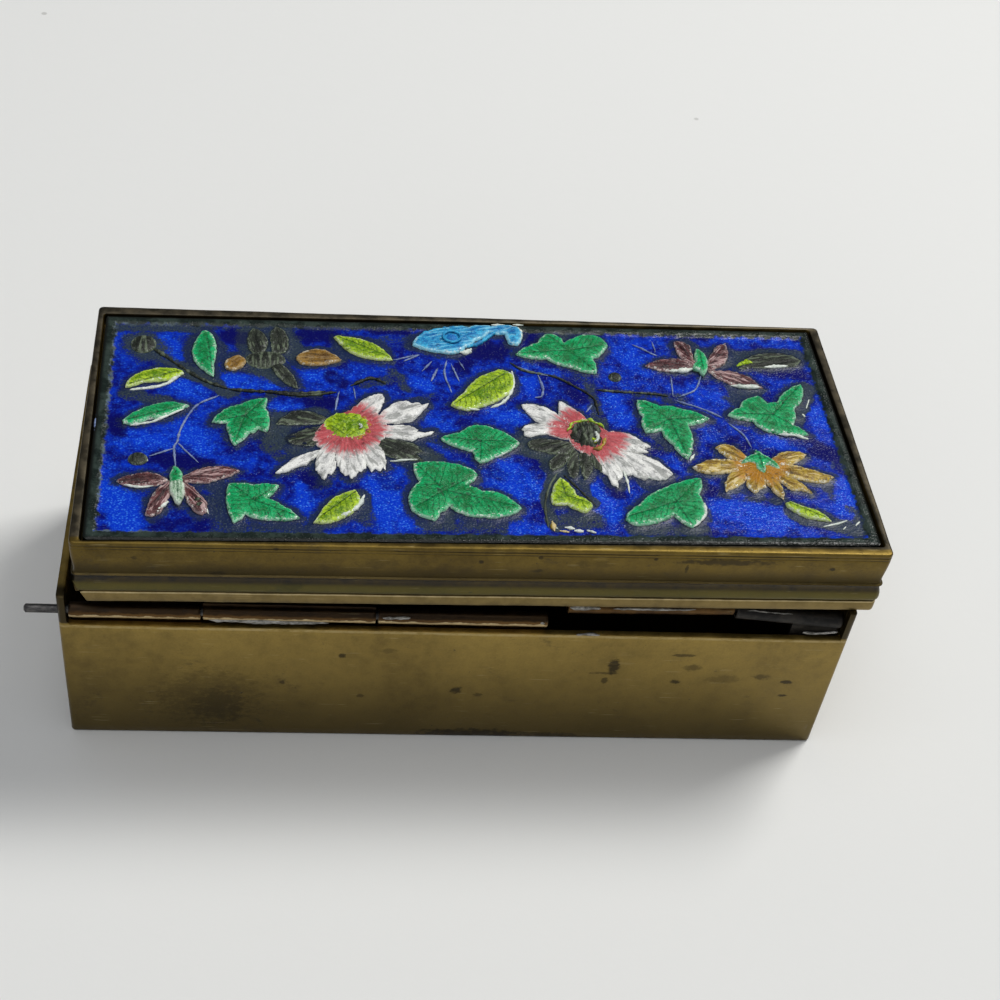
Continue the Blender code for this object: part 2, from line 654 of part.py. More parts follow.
def main():
    """Builds the whole box."""
    clear_scene()
    parts = make_collection("enamel_brass_box")
    cutters = make_collection("cutters")
    brass = make_material("aged_brass", (0.30, 0.24, 0.10), 0.42, 0.9)
    dull_brass = make_material("hinge_brass", (0.20, 0.14, 0.07), 0.5, 0.8)
    burnt = make_material("blackened_brass", (0.05, 0.04, 0.03), 0.7, 0.4)
    steel = make_material("pin_steel", (0.12, 0.12, 0.12), 0.5, 0.8)
    enamel = make_material("blue_enamel", (0.01, 0.05, 0.45), 0.15, 0.0)

    make_box(parts, cutters, brass)
    make_base_knuckles(parts, cutters, dull_brass, burnt)
    make_pin(parts, steel)

    hinge = bpy.data.objects.new("lid_hinge_axis", None)
    hinge.location = (0.0, HINGE_Y, HINGE_Z)
    parts.objects.link(hinge)
    lid_turn = Matrix.Rotation(math.radians(LID_TURN_DEG), 4, "Z")
    lid_place = Matrix.Translation((LID_SLIP, 0.0, LID_BOTTOM)) @ lid_turn
    panel_place = lid_place @ Matrix.Rotation(math.radians(PANEL_TURN_DEG), 4, "Z")
    lid = make_lid(parts, cutters, brass)
    lid_knuckle = make_lid_knuckle(parts, cutters, dull_brass)
    panel = make_panel(parts, cutters, enamel)
    bpy.context.view_layer.update()
    lid_guides = [obj for obj in cutters.objects if obj.name.startswith(("clipped", "hinge_knuckle_d"))]
    for obj in (lid, lid_knuckle, *lid_guides):
        hang_on(obj, hinge, lid_place)
    for obj in (panel, cutters.objects["picture"]):
        hang_on(obj, hinge, panel_place)


main()
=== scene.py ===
"""Aged brass box with a raised enamel picture in its hinged lid.

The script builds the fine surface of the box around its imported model: the worn brass sheet, the broken
hinge, the moulded lid and the enamel picture with its leaves, flowers, bird and insect.
Lengths are in millimetres until a mesh is made. The lid's pieces are made in the lid's axes, and the
enamel picture's in the panel's.
"""

import logging
import math
from collections.abc import Callable, Iterable, Sequence
from dataclasses import dataclass, field
from enum import Enum
from typing import Any

import bpy
import numpy as np
from mathutils import Matrix, Vector, noise
from mathutils.geometry import delaunay_2d_cdt

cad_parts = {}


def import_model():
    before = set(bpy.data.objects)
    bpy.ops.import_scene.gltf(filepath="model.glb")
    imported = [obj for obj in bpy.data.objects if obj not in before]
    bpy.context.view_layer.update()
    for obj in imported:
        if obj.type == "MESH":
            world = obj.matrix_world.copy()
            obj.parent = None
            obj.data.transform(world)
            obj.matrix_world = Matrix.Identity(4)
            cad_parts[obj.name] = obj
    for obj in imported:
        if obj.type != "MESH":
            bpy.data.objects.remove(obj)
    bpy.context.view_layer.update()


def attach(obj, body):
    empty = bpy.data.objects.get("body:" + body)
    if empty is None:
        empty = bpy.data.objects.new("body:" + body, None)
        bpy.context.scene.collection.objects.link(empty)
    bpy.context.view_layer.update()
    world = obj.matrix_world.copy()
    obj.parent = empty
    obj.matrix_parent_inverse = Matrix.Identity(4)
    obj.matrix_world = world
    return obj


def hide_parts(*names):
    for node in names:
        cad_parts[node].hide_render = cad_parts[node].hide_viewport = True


LOG = logging.getLogger("enamel_box")

Colour = tuple[float, float, float]
Point = tuple[float, float]

MM = 0.001
LID_PLACE = Matrix.Translation((1.67 * MM, 0.0, 23.7 * MM)) @ Matrix.Rotation(math.radians(0.77), 4, "Z")
PANEL_TURN = math.radians(0.6)
PANEL_PLACE = LID_PLACE @ Matrix.Rotation(PANEL_TURN, 4, "Z")
BOX_PLACE = Matrix.Identity(4)


# Shader writing


class Wire:
    """A value on its way through a shader, which takes part in ordinary arithmetic."""

    def __init__(self, recipe: "Recipe", socket: bpy.types.NodeSocket) -> None:
        """Keeps the recipe and the output socket that the value comes from."""
        self.recipe = recipe
        self.socket = socket

    def __add__(self, other: "Wire | float") -> "Wire":
        """Returns the sum."""
        return self.recipe.maths("ADD", self, other)

    def __sub__(self, other: "Wire | float") -> "Wire":
        """Returns the difference."""
        return self.recipe.maths("SUBTRACT", self, other)

    def __rsub__(self, other: float) -> "Wire":
        """Returns a number minus this value."""
        return self.recipe.maths("SUBTRACT", other, self)

    def __mul__(self, other: "Wire | float") -> "Wire":
        """Returns the product."""
        return self.recipe.maths("MULTIPLY", self, other)

    def __truediv__(self, other: "Wire | float") -> "Wire":
        """Returns the quotient."""
        return self.recipe.maths("DIVIDE", self, other)

    def __pow__(self, other: float) -> "Wire":
        """Returns the value raised to a power."""
        return self.recipe.maths("POWER", self, other)

    def __rtruediv__(self, other: float) -> "Wire":
        """Returns a number divided by this value."""
        return self.recipe.maths("DIVIDE", other, self)

    def __rpow__(self, other: float) -> "Wire":
        """Returns a number raised to this power."""
        return self.recipe.maths("POWER", other, self)

    __radd__ = __add__
    __rmul__ = __mul__

    def fract(self) -> "Wire":
        """Returns the part after the decimal point."""
        return self.recipe.maths("FRACT", self, 0.0)

    def held(self) -> "Wire":
        """Returns the value held between 0 and 1."""
        return self.recipe.maths("ADD", self, 0.0, clamp=True)

    def rise(self, low: float, high: float) -> "Wire":
        """Returns a soft step from 0 at one value to 1 at another.

        Args:
            low: The value where the step is 0.
            high: The value where the step is 1, which may be the lower of the two.

        Returns:
            The step.
        """
        return self.recipe.node(
            "ShaderNodeMapRange",
            {"interpolation_type": "SMOOTHSTEP"},
            {"Value": self, "From Min": low, "From Max": high},
        )


class Recipe:
    """One material that is being written."""

    def __init__(self, name: str) -> None:
        """Starts a material with its one shader.

        Args:
            name: The material's name.
        """
        self.material = bpy.data.materials.new(name)
        self.material.use_nodes = True
        self.tree = self.material.node_tree
        self.shader = self.tree.nodes["Principled BSDF"]

    def feed(self, socket: bpy.types.NodeSocket, value: Any) -> None:
        """Links a wire to a socket, or sets the socket to a number or a colour.

        Args:
            socket: The input socket.
            value: The wire, number or colour.
        """
        if isinstance(value, Wire):
            self.tree.links.new(value.socket, socket)
        elif socket.type == "RGBA":
            socket.default_value = (*value[:3], 1.0)
        else:
            socket.default_value = value

    def node(
        self,
        kind: str,
        settings: dict[str, Any] | None = None,
        inputs: dict[int | str, Any] | None = None,
        output: int | str = 0,
    ) -> Wire:
        """Adds any node.

        Args:
            kind: The node's type.
            settings: The node's own settings, which are set first.
            inputs: The values or wires of its sockets.
            output: The socket that the result is read from.

        Returns:
            The result.
        """
        made = self.tree.nodes.new(kind)
        for key, value in (settings or {}).items():
            setattr(made, key, value)
        for key, value in (inputs or {}).items():
            self.feed(made.inputs[key], value)
        return Wire(self, made.outputs[output])

    def maths(self, operation: str, first: Wire | float, second: Wire | float, clamp: bool = False) -> Wire:
        """Adds one step of arithmetic."""
        settings = {"operation": operation, "use_clamp": clamp}
        return self.node("ShaderNodeMath", settings, {0: first, 1: second})

    def mix(self, share: Wire | float, first: Wire | Colour, second: Wire | Colour, how: str = "MIX") -> Wire:
        """Returns a colour between two colours."""
        settings = {"data_type": "RGBA", "blend_type": how}
        return self.node("ShaderNodeMix", settings, {0: share, 6: first, 7: second}, 2)

    def mark(self, name: str) -> Wire:
        """Returns a number that is stored on the mesh's points."""
        return self.node("ShaderNodeAttribute", {"attribute_name": name}, output="Fac")

    def place(self, stretch: Colour = (1.0, 1.0, 1.0)) -> Wire:
        """Returns the place on the piece in millimetres, stretched along its axes.

        Args:
            stretch: Factors along x, y and z.

        Returns:
            The place.
        """
        spot = self.node("ShaderNodeTexCoord", output="Object")
        factors = tuple(share / MM for share in stretch)
        return self.node("ShaderNodeVectorMath", {"operation": "MULTIPLY"}, {0: spot, 1: factors})

    def axis(self, name: str) -> Wire:
        """Returns one coordinate of the place on the piece, in millimetres."""
        return self.node("ShaderNodeSeparateXYZ", inputs={0: self.place()}, output=name)

    def vector(self, x: Wire | float, y: Wire | float, z: Wire | float) -> Wire:
        """Returns a vector from three numbers."""
        return self.node("ShaderNodeCombineXYZ", inputs={0: x, 1: y, 2: z})

    def cloud(
        self,
        scale: float,
        detail: float = 3.0,
        rough: float = 0.55,
        where: Wire | None = None,
        bend: float = 0.0,
    ) -> Wire:
        """Returns cloudy noise.

        Args:
            scale: Features per millimetre.
            detail: Octaves.
            rough: Strength of the finer octaves.
            where: The place to read it at, or the place on the piece.
            bend: How far the noise bends itself.

        Returns:
            The noise, about 0.3 to 0.7.
        """
        spot = where or self.place()
        inputs = {"Vector": spot, "Scale": scale, "Detail": detail, "Roughness": rough, "Distortion": bend}
        return self.node("ShaderNodeTexNoise", {"noise_dimensions": "3D"}, inputs)

    def cells(self, scale: float, where: Wire | None = None, randomness: float = 1.0) -> Wire:
        """Returns the distance to the nearest of many scattered points."""
        inputs = {"Vector": where or self.place(), "Scale": scale, "Randomness": randomness}
        return self.node("ShaderNodeTexVoronoi", {"feature": "F1"}, inputs, "Distance")

    def bump(self, height: Wire, depth_mm: float) -> Wire:
        """Returns the normal of a surface with a fine height on it."""
        inputs = {"Strength": 1.0, "Distance": depth_mm * MM, "Height": height}
        return self.node("ShaderNodeBump", inputs=inputs)

    def dress(self, **sockets: Any) -> bpy.types.Material:
        """Feeds the shader's sockets and returns the finished material.

        Args:
            **sockets: Values or wires by socket name, with _ for a space.

        Returns:
            The material.
        """
        for key, value in sockets.items():
            self.feed(self.shader.inputs[key.replace("_", " ")], value)
        return self.material


# Finishes


@dataclass(frozen=True)
class BrassFinish:
    """Sheet brass with its tarnish, stains, pits and scratches, and painted shade and painted highlights on
    the hinge tubes, the front edge and the lid.
    """

    name: str
    bright: Colour = (0.38, 0.265, 0.068)
    dull: Colour = (0.165, 0.113, 0.03)
    # Dark colour of the stains, also used for painted shade
    stain_and_shade: Colour = (0.03, 0.022, 0.009)
    roughness: float = 0.42
    metal: float = 0.86
    stained: float = 0.5
    foot: float = 0.0
    is_lid: bool = False
    is_tube: bool = False
    rubs: tuple[tuple[float, float, float, float, float], ...] = ()

    def make(self) -> bpy.types.Material:
        """Returns the material.

        Returns:
            The material.
        """
        r = Recipe(self.name)
        broad = r.cloud(0.055, 3.0, 0.6, bend=0.4).rise(0.34, 0.66)
        mottle = r.cloud(0.6, 5.0, 0.62).rise(0.3, 0.72)
        grain = r.cloud(4.0, 3.0, 0.7)
        blend = broad * 0.42 + mottle * 0.5 + (grain - 0.5) * 0.5 + 0.04
        colour = r.mix(blend.held(), self.dull, self.bright)
        height = r.axis("Z")
        if self.foot:
            low = height.rise(19.0, -3.0) * self.foot
            colour = r.mix((low + (mottle - 0.5) * 0.12).held(), colour, (0.05, 0.038, 0.014))
        smudge = r.cloud(0.11, 5.0, 0.7, bend=0.6).rise(0.56, 0.72)
        scuff = r.cloud(1.5, 4.0, 0.7, r.place((0.45, 1.0, 1.3)))
        fray = r.cloud(1.2, 6.0, 0.75, r.place((0.7, 1.0, 1.2)))
        dark = (smudge * scuff.rise(0.42, 0.58) * self.stained).held()
        colour = r.mix(dark, colour, self.stain_and_shade)
        blots = r.cloud(1.1, 3.0, 0.6).rise(0.68, 0.735) * r.cloud(0.16, 2.0).rise(0.5, 0.56)
        specks = r.cloud(3.4, 2.0, 0.6).rise(0.66, 0.74) * r.cloud(0.4, 2.0).rise(0.42, 0.56)
        marks = (blots * 0.8 + specks * 0.65).held()
        colour = r.mix(marks, colour, self.stain_and_shade)
        line = r.cloud(3.0, 2.0, 0.5, r.place((0.06, 1.0, 1.6)))
        scratch = line.rise(0.62, 0.7) * r.cloud(0.3, 2.0).rise(0.5, 0.62)
        colour = r.mix(scratch * 0.25, colour, (0.55, 0.46, 0.24))
        if self.foot:
            # The hinge-side ends of the walls above 19 mm, and the left end face, are made darker
            shelf = height.rise(19.0, 19.3) * r.axis("Y").rise(-17.5, -18.8)
            shelf = (shelf * 0.92 + r.axis("X").rise(-44.9, -45.0) * 0.5).held()
            colour = r.mix(shelf, colour, self.stain_and_shade)
            # Painted highlight on the worn, rolled top edge of the front wall beside the hinge, broken up by
            # the scuffs
            edge = height.rise(18.45, 18.6) * height.rise(18.9, 18.8) * r.axis("Y").rise(-19.7, -19.9)
            colour = r.mix(edge * scuff.rise(0.3, 0.6) * 0.35, colour, (0.6, 0.48, 0.26))
        front = r.axis("Y").rise(-19.3, -19.7)
        for x, z, wide, high, strength in self.rubs:
            reach = ((r.axis("X") - x) / wide) ** 2.0 + ((height - z) / high) ** 2.0 + (fray - 0.5) * 4.0
            colour = r.mix((reach.rise(1.1, 0.1) * front * strength).held(), colour, self.stain_and_shade)
        if self.is_lid:
            colour = self.lid_colours(r, colour, mottle)
        if self.is_tube:
            # Painted light on the hinge tubes: painted shadow of the lid's overhang on their upper half, and
            # a painted highlight along their lower half
            level = height + (mottle - 0.5) * 0.3
            colour = r.mix(level.rise(20.7, 21.0) * 0.8, colour, self.stain_and_shade)
            colour = r.mix(level.rise(20.55, 20.35) * level.rise(19.3, 19.5) * 0.8, colour, (0.72, 0.56, 0.3))
        rough = self.roughness + (mottle - 0.5) * 0.18 + marks * 0.2 + dark * 0.25
        relief = grain * 0.35 + mottle * 0.5 - marks * 1.2 + scratch * 0.2
        return r.dress(
            Base_Color=colour,
            Metallic=(self.metal - dark * 0.4 - marks * 0.4).held(),
            Roughness=rough.held(),
            Normal=r.bump(relief, 0.02),
        )

    def lid_colours(self, r: Recipe, colour: Wire, mottle: Wire) -> Wire:
        """Returns the colour with the lid's tarnish and painted light: scored top edge, painted shade on the
        face, in the cove and in the recess, green band, painted highlights on the lip and grey rim.

        Args:
            r: The recipe.
            colour: The colour so far.
            mottle: The fine mottling.

        Returns:
            The colour.
        """
        wave = (r.cloud(0.05, 2.0, where=r.place((1.0, 0.0, 0.0))) - 0.5) * 0.3
        level = r.axis("Z") + wave * 0.4
        ends = r.axis("Y").rise(-19.4, -19.0)
        # Painted shade: the moulding's face darkens towards its lower edge, where it curves in and faces down
        face = level.rise(6.6, 4.5) * level.rise(4.1, 4.3)
        colour = r.mix(face * 0.75, colour, (0.03, 0.022, 0.008))
        # Painted shade and a painted dark reflection in the cove under the crest
        hollow = level.rise(2.7, 3.3) * level.rise(4.25, 4.1)
        colour = r.mix(hollow * (0.55 + mottle * 0.35), colour, (0.02, 0.022, 0.026))
        green = level.rise(1.75, 1.95) * level.rise(3.4, 2.7)
        colour = r.mix(green * 0.6, colour, (0.085, 0.085, 0.03))
        # Lighter lip, with a faint painted highlight along the crest's top
        lip = level.rise(1.5, 1.3) * 0.8 + level.rise(4.13, 4.2) * level.rise(4.4, 4.28) * 0.15
        colour = r.mix((lip * (0.35 + mottle * 0.3)).held(), colour, (0.34, 0.255, 0.11))
        # Painted highlights along the top of the lip and along the lid's lowest edge
        shine = level.rise(1.3, 1.36) * level.rise(1.52, 1.46) + level.rise(0.14, 0.04) * 0.5
        colour = r.mix((shine * (0.4 + mottle * 0.4)).held(), colour, (0.72, 0.58, 0.32))
        seam = level.rise(1.5, 1.56) * level.rise(1.86, 1.76)
        colour = r.mix(seam * 0.8, colour, self.stain_and_shade)
        broken = r.cloud(0.12, 3.0, where=r.place((1.0, 0.1, 0.0))).rise(0.36, 0.5)
        lines = level.rise(8.32, 8.4) * level.rise(8.52, 8.44)
        lines = lines + level.rise(7.95, 8.02) * level.rise(8.1, 8.05)
        colour = r.mix((lines * broken * 0.85).held(), colour, self.stain_and_shade)
        # Painted shade in the recess between the bezel and the enamel panel
        colour = r.mix(r.mark("hidden") * 0.85, colour, (0.01, 0.008, 0.005))
        rim = r.mix(mottle, (0.03, 0.028, 0.022), (0.085, 0.072, 0.05))
        return r.mix((r.axis("Z").rise(8.86, 8.95) * ends * 0.92).held(), colour, rim)


@dataclass(frozen=True)
class SmearedMetal:
    """Dull metal of one or two colours: solder, the pin, and the near-black brass of a tube in painted
    shadow.
    """

    name: str
    first: Colour
    second: Colour
    roughness: float = 0.5
    metal: float = 0.7
    scale: float = 1.2
    depth: float = 0.05

    def make(self) -> bpy.types.Material:
        """Returns the material.

        Returns:
            The material.
        """
        r = Recipe(self.name)
        smear = r.cloud(self.scale, 5.0, 0.65, r.place((0.5, 1.0, 1.0)))
        lumps = r.cloud(self.scale * 2.5, 4.0, 0.6)
        colour = r.mix(smear.rise(0.38, 0.62), self.first, self.second)
        rough = (self.roughness + (lumps - 0.5) * 0.4).held()
        normal = r.bump(lumps, self.depth)
        return r.dress(Base_Color=colour, Metallic=self.metal, Roughness=rough, Normal=normal)


@dataclass(frozen=True)
class GroundFinish:
    """The blue ground of the picture, with its flecks, its worn slate patches, its grey border, and painted
    shade by the forms and along the edge.
    """

    name: str = "blue_ground"
    deep: Colour = (0.0004, 0.0012, 0.13)
    cobalt: Colour = (0.0005, 0.032, 0.52)
    fleck: Colour = (0.032, 0.2, 0.8)
    slate: Colour = (0.009, 0.018, 0.05)
    worn: Colour = (0.028, 0.042, 0.042)
    border: Colour = (0.008, 0.014, 0.012)

    def make(self) -> bpy.types.Material:
        """Returns the material.

        Returns:
            The material.
        """
        r = Recipe(self.name)
        near, rim, edge = r.mark("near"), r.mark("rim"), r.mark("edge")
        bright, deep, worn = r.mark("bright"), r.mark("deep"), r.mark("worn")
        broad = r.cloud(0.16, 4.0, 0.6)
        cloud = r.cloud(0.9, 5.0, 0.68)
        grain = r.cloud(4.5, 3.0, 0.6)
        thread = r.cloud(3.2, 2.0, 0.5, r.place((0.6, 1.5, 1.0)))
        weave = r.cells(2.9, r.place((1.0, 1.25, 0.2)), 0.7).rise(0.48, 0.15)
        light = ((broad - 0.5) * 2.0 + (cloud - 0.5) * 3.0 + bright * 0.75 - deep * 0.9 + 0.42).held()
        colour = r.mix(light, self.deep, self.cobalt)
        dust = weave * 1.3 + grain.rise(0.5, 0.62) * 0.5
        speck = (dust * thread.rise(0.34, 0.56) * (light * 0.85 + 0.15) * (0.5 + bright * 0.5)).held()
        colour = r.mix(speck * 0.8, colour, self.fleck)
        halo = near.rise(1.7, 0.1) * 0.9
        shade = halo + worn * 1.1 + (cloud - 0.5) * 2.0 + (broad - 0.5) * 1.2 + grain - 0.5 - bright * 0.4
        bare = shade.rise(0.3, 0.9)
        slate = r.mix((worn + (grain - 0.5) * 2.2).rise(0.45, 1.05), self.slate, self.worn)
        slate = r.mix(grain.rise(0.6, 0.7) * 0.35, slate, (0.12, 0.17, 0.2))
        colour = r.mix(bare * 0.95, colour, slate)
        glint = r.cloud(6.0, 2.0, 0.5).rise(0.68, 0.74) * bare.rise(0.2, 0.6) * cloud.rise(0.45, 0.6)
        colour = r.mix(glint * 0.6, colour, (0.3, 0.38, 0.42))
        # Darker still in the deepest patches: deep enamel, and painted shadow beside some forms
        colour = r.mix(deep * rim.rise(0.0, 0.3) * 0.6, colour, (0.0, 0.0, 0.06))
        # Painted shade: the ground turns near-black within 0.3 mm of each form's foot
        colour = r.mix(near.rise(0.3, 0.05) * 0.6, colour, (0.002, 0.004, 0.008))
        colour = self.edge_band(r, colour, edge, cloud)
        polish = (0.22 + bare * 0.08 + (grain - 0.5) * 0.25).held()
        relief = grain * 0.3 + thread * 0.35 + cloud * 0.9 - bare * 0.25 + weave * 0.25
        return r.dress(
            Base_Color=colour,
            Roughness=polish,
            Specular_IOR_Level=0.2,
            Normal=r.bump(relief, 0.07),
        )

    def edge_band(self, r: Recipe, colour: Wire, edge: Wire, cloud: Wire) -> Wire:
        """Returns the colour with the grey-green border over it, painted shade along the panel's outer edge
        and a painted highlight line along the border's inner side at the left end.

        Args:
            r: The recipe.
            colour: The colour so far.
            edge: The distance to the panel's edge.
            cloud: The soft noise.

        Returns:
            The colour.
        """
        wander = edge + (cloud - 0.5) * 1.7
        streak = r.cloud(2.0, 4.0, 0.65, r.place((0.25, 0.25, 1.0))).rise(0.42, 0.62)
        band = r.mix(streak, self.border, (0.028, 0.042, 0.036))
        # Painted shade: near-black along the panel's outer 0.55 mm, in the gap beside the bezel
        band = r.mix(edge.rise(0.55, 0.1), band, (0.004, 0.005, 0.004))
        colour = r.mix(wander.rise(1.5, 1.15), colour, band)
        lit = wander.rise(1.0, 1.2) * wander.rise(1.5, 1.3) * streak * r.axis("X").rise(-30.0, -43.0) * 0.5
        return r.mix(lit, colour, (0.16, 0.22, 0.24))


@dataclass(frozen=True)
class GlazeFinish:
    """Coloured enamel on a raised form, with a pale worn rim, veins, dark specks, painted sparkle along the
    rim and painted shade on its lower sides.
    """

    name: str
    deep: Colour
    light: Colour
    rim: Colour
    vein: Colour
    rim_width: float = 0.26
    veins: float = 0.6
    streaks: float = 0.0
    throat: Colour | None = None
    throat_reach: float = 4.0
    lightness: float = 0.3
    chips: float = 0.3
    roughness: float = 0.3

    def make(self) -> bpy.types.Material:
        """Returns the material.

        Returns:
            The material.
        """
        r = Recipe(self.name)
        rim, side, along = r.mark("rim"), r.mark("side"), r.mark("along")
        seed = r.mark("seed")
        cloud = r.cloud(0.9, 4.0, 0.6)
        grain = r.cloud(4.5, 4.0, 0.65)
        lines = r.cloud(1.0, 3.0, 0.6, r.vector(along * 0.5, side * 3.2, seed * 17.0))
        tone = (cloud - 0.5) * 2.2 + (grain - 0.5) * 2.0 + rim.rise(1.1, 0.1) * 0.35 + self.lightness
        colour = r.mix(tone.held(), self.deep, self.light)
        feather = (along * 1.2 - side + (cloud - 0.5) * 1.6).fract()
        twig = feather.rise(0.0, 0.16) * feather.rise(0.4, 0.16) * rim.rise(0.1, 0.5) * cloud.rise(0.36, 0.5)
        spine = side.rise(0.15, 0.04) * cloud.rise(0.3, 0.5)
        mark = ((twig * 0.8 + spine) * self.veins).held()
        colour = r.mix(mark, colour, self.vein)
        if self.streaks:
            colour = r.mix(lines.rise(0.51, 0.6) * self.streaks, colour, self.vein)
            colour = r.mix(lines.rise(0.46, 0.38) * self.streaks, colour, self.rim)
        if self.throat:
            limit = along + (lines - 0.5) * 3.6 + (cloud - 0.5) * 1.6
            blush = limit.rise(self.throat_reach + 0.6, self.throat_reach - 1.0)
            warm = r.mix(lines.rise(0.42, 0.6), tuple(c * 1.5 for c in self.throat), self.throat)
            colour = r.mix(blush * 0.94, colour, warm)
        frayed = rim + (grain - 0.5) * 0.9 + (cloud - 0.5) * 0.6
        pale = frayed.rise(self.rim_width, self.rim_width * 0.3) * cloud.rise(0.3, 0.5)
        colour = r.mix(pale * 0.85, colour, self.rim)
        # Painted highlights: near-white, glossy sparkle along the worn rim
        painted_sparkle = (r.cloud(2.6, 4.0, 0.75).rise(0.54, 0.6) * frayed.rise(0.5, 0.05) * self.chips).held()
        colour = r.mix(painted_sparkle, colour, (0.88, 0.92, 0.85))
        # Dark specks of dirt, and painted shade on the form's sides near the ground
        soil_and_shade = r.cloud(1.9, 4.0, 0.7).rise(0.57, 0.66) * self.chips
        soil_and_shade = (soil_and_shade + rim.rise(-0.1, -0.4)).held()
        colour = r.mix(soil_and_shade * 0.9, colour, (0.006, 0.01, 0.012))
        rough = (self.roughness + soil_and_shade * 0.2 + (grain - 0.5) * 0.3).held()
        relief = grain + cloud * 0.6 - mark * 0.7 + lines * self.streaks * 1.3
        return r.dress(
            Base_Color=colour,
            Roughness=rough,
            Specular_IOR_Level=0.25,
            Coat_Weight=painted_sparkle,
            Normal=r.bump(relief, 0.09),
        )


@dataclass(frozen=True)
class PaperFinish:
    """The pale sheet that the box stands on."""

    name: str = "pale_paper"
    colour: Colour = (0.745, 0.748, 0.735)

    def make(self) -> bpy.types.Material:
        """Returns the material.

        Returns:
            The material.
        """
        r = Recipe(self.name)
        fibre = r.cloud(0.35, 4.0, 0.6)
        crumb = r.cells(0.05).rise(0.035, 0.02) * r.cloud(0.02, 2.0).rise(0.5, 0.56)
        colour = r.mix((fibre - 0.5) * 0.25 + 0.5, tuple(c * 0.96 for c in self.colour), self.colour)
        colour = r.mix(crumb * 0.5, colour, (0.3, 0.29, 0.27))
        return r.dress(Base_Color=colour, Roughness=0.85, Normal=r.bump(fibre, 0.03))


# Mesh making


def make_piece(
    name: str,
    points: np.ndarray,
    faces: Sequence[Sequence[int]],
    place: Matrix,
    materials: Sequence[bpy.types.Material],
    marks: dict[str, np.ndarray] | None = None,
    sharp_deg: float = 38.0,
) -> bpy.types.Object:
    """Makes one object from points in millimetres.

    Args:
        name: The object's name.
        points: The points, one row each.
        faces: The faces, as rows of point numbers.
        place: Where the piece's own axes are.
        materials: Its materials.
        marks: Numbers that are stored on the points, by name.
        sharp_deg: The angle over which an edge is drawn sharp.

    Returns:
        The object, linked to the scene.
    """
    mesh = bpy.data.meshes.new(name)
    mesh.from_pydata((points * MM).tolist(), [], [list(map(int, face)) for face in faces])
    for key, values in (marks or {}).items():
        layer = mesh.attributes.new(key, "FLOAT", "POINT")
        layer.data.foreach_set("value", np.asarray(values, np.float32))
    mesh.validate()
    mesh.update()
    mesh.shade_smooth()
    mesh.set_sharp_from_angle(angle=math.radians(sharp_deg))
    for material in materials:
        mesh.materials.append(material)
    obj = bpy.data.objects.new(name, mesh)
    obj.matrix_world = place
    bpy.context.scene.collection.objects.link(obj)
    return obj


def carry(piece: bpy.types.Object, body: str, slot: str, *nodes: str) -> bpy.types.Object:
    """Says what a piece rides on and stands for.

    Args:
        piece: The piece.
        body: The body that carries it.
        slot: A material slot, which is not used.
        *nodes: The plain solids that it replaces.

    Returns:
        The piece.
    """
    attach(piece, body)
    if nodes:
        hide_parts(*nodes)
    return piece


def ripple(points: np.ndarray, scale: float, seed: float = 0.0) -> np.ndarray:
    """Returns smooth noise at points, from -1 to 1.

    Args:
        points: The points, one row of two or three numbers each.
        scale: Features per millimetre.
        seed: Which noise is read.

    Returns:
        One number for each point.
    """
    spots = np.zeros((len(points), 3))
    spots[:, : points.shape[1]] = points * scale
    spots += (seed * 7.3, seed * 3.1, seed * 11.7)
    return np.array([noise.noise(spot) for spot in spots.tolist()])


def shake(points: np.ndarray, scale: float, first: float, second: float) -> np.ndarray:
    """Returns smooth noise in x and y at points, from two seeds."""
    return np.column_stack((ripple(points, scale, first), ripple(points, scale, second)))


def soft(share: np.ndarray) -> np.ndarray:
    """Returns a soft step for shares, which are held between 0 and 1."""
    held = np.clip(share, 0.0, 1.0)
    return held * held * (3 - 2 * held)


def loop_faces(rows: int, columns: int) -> list[tuple[int, ...]]:
    """Returns the faces between closed rings of points, with a cap at each end.

    Args:
        rows: How many rings there are.
        columns: Points round a ring.

    Returns:
        The faces.
    """
    faces = []
    for row in range(rows - 1):
        low, high = row * columns, (row + 1) * columns
        for i in range(columns):
            j = (i + 1) % columns
            faces.append((low + i, low + j, high + j, high + i))
    faces.append(tuple(range(columns - 1, -1, -1)))
    faces.append(tuple((rows - 1) * columns + i for i in range(columns)))
    return faces


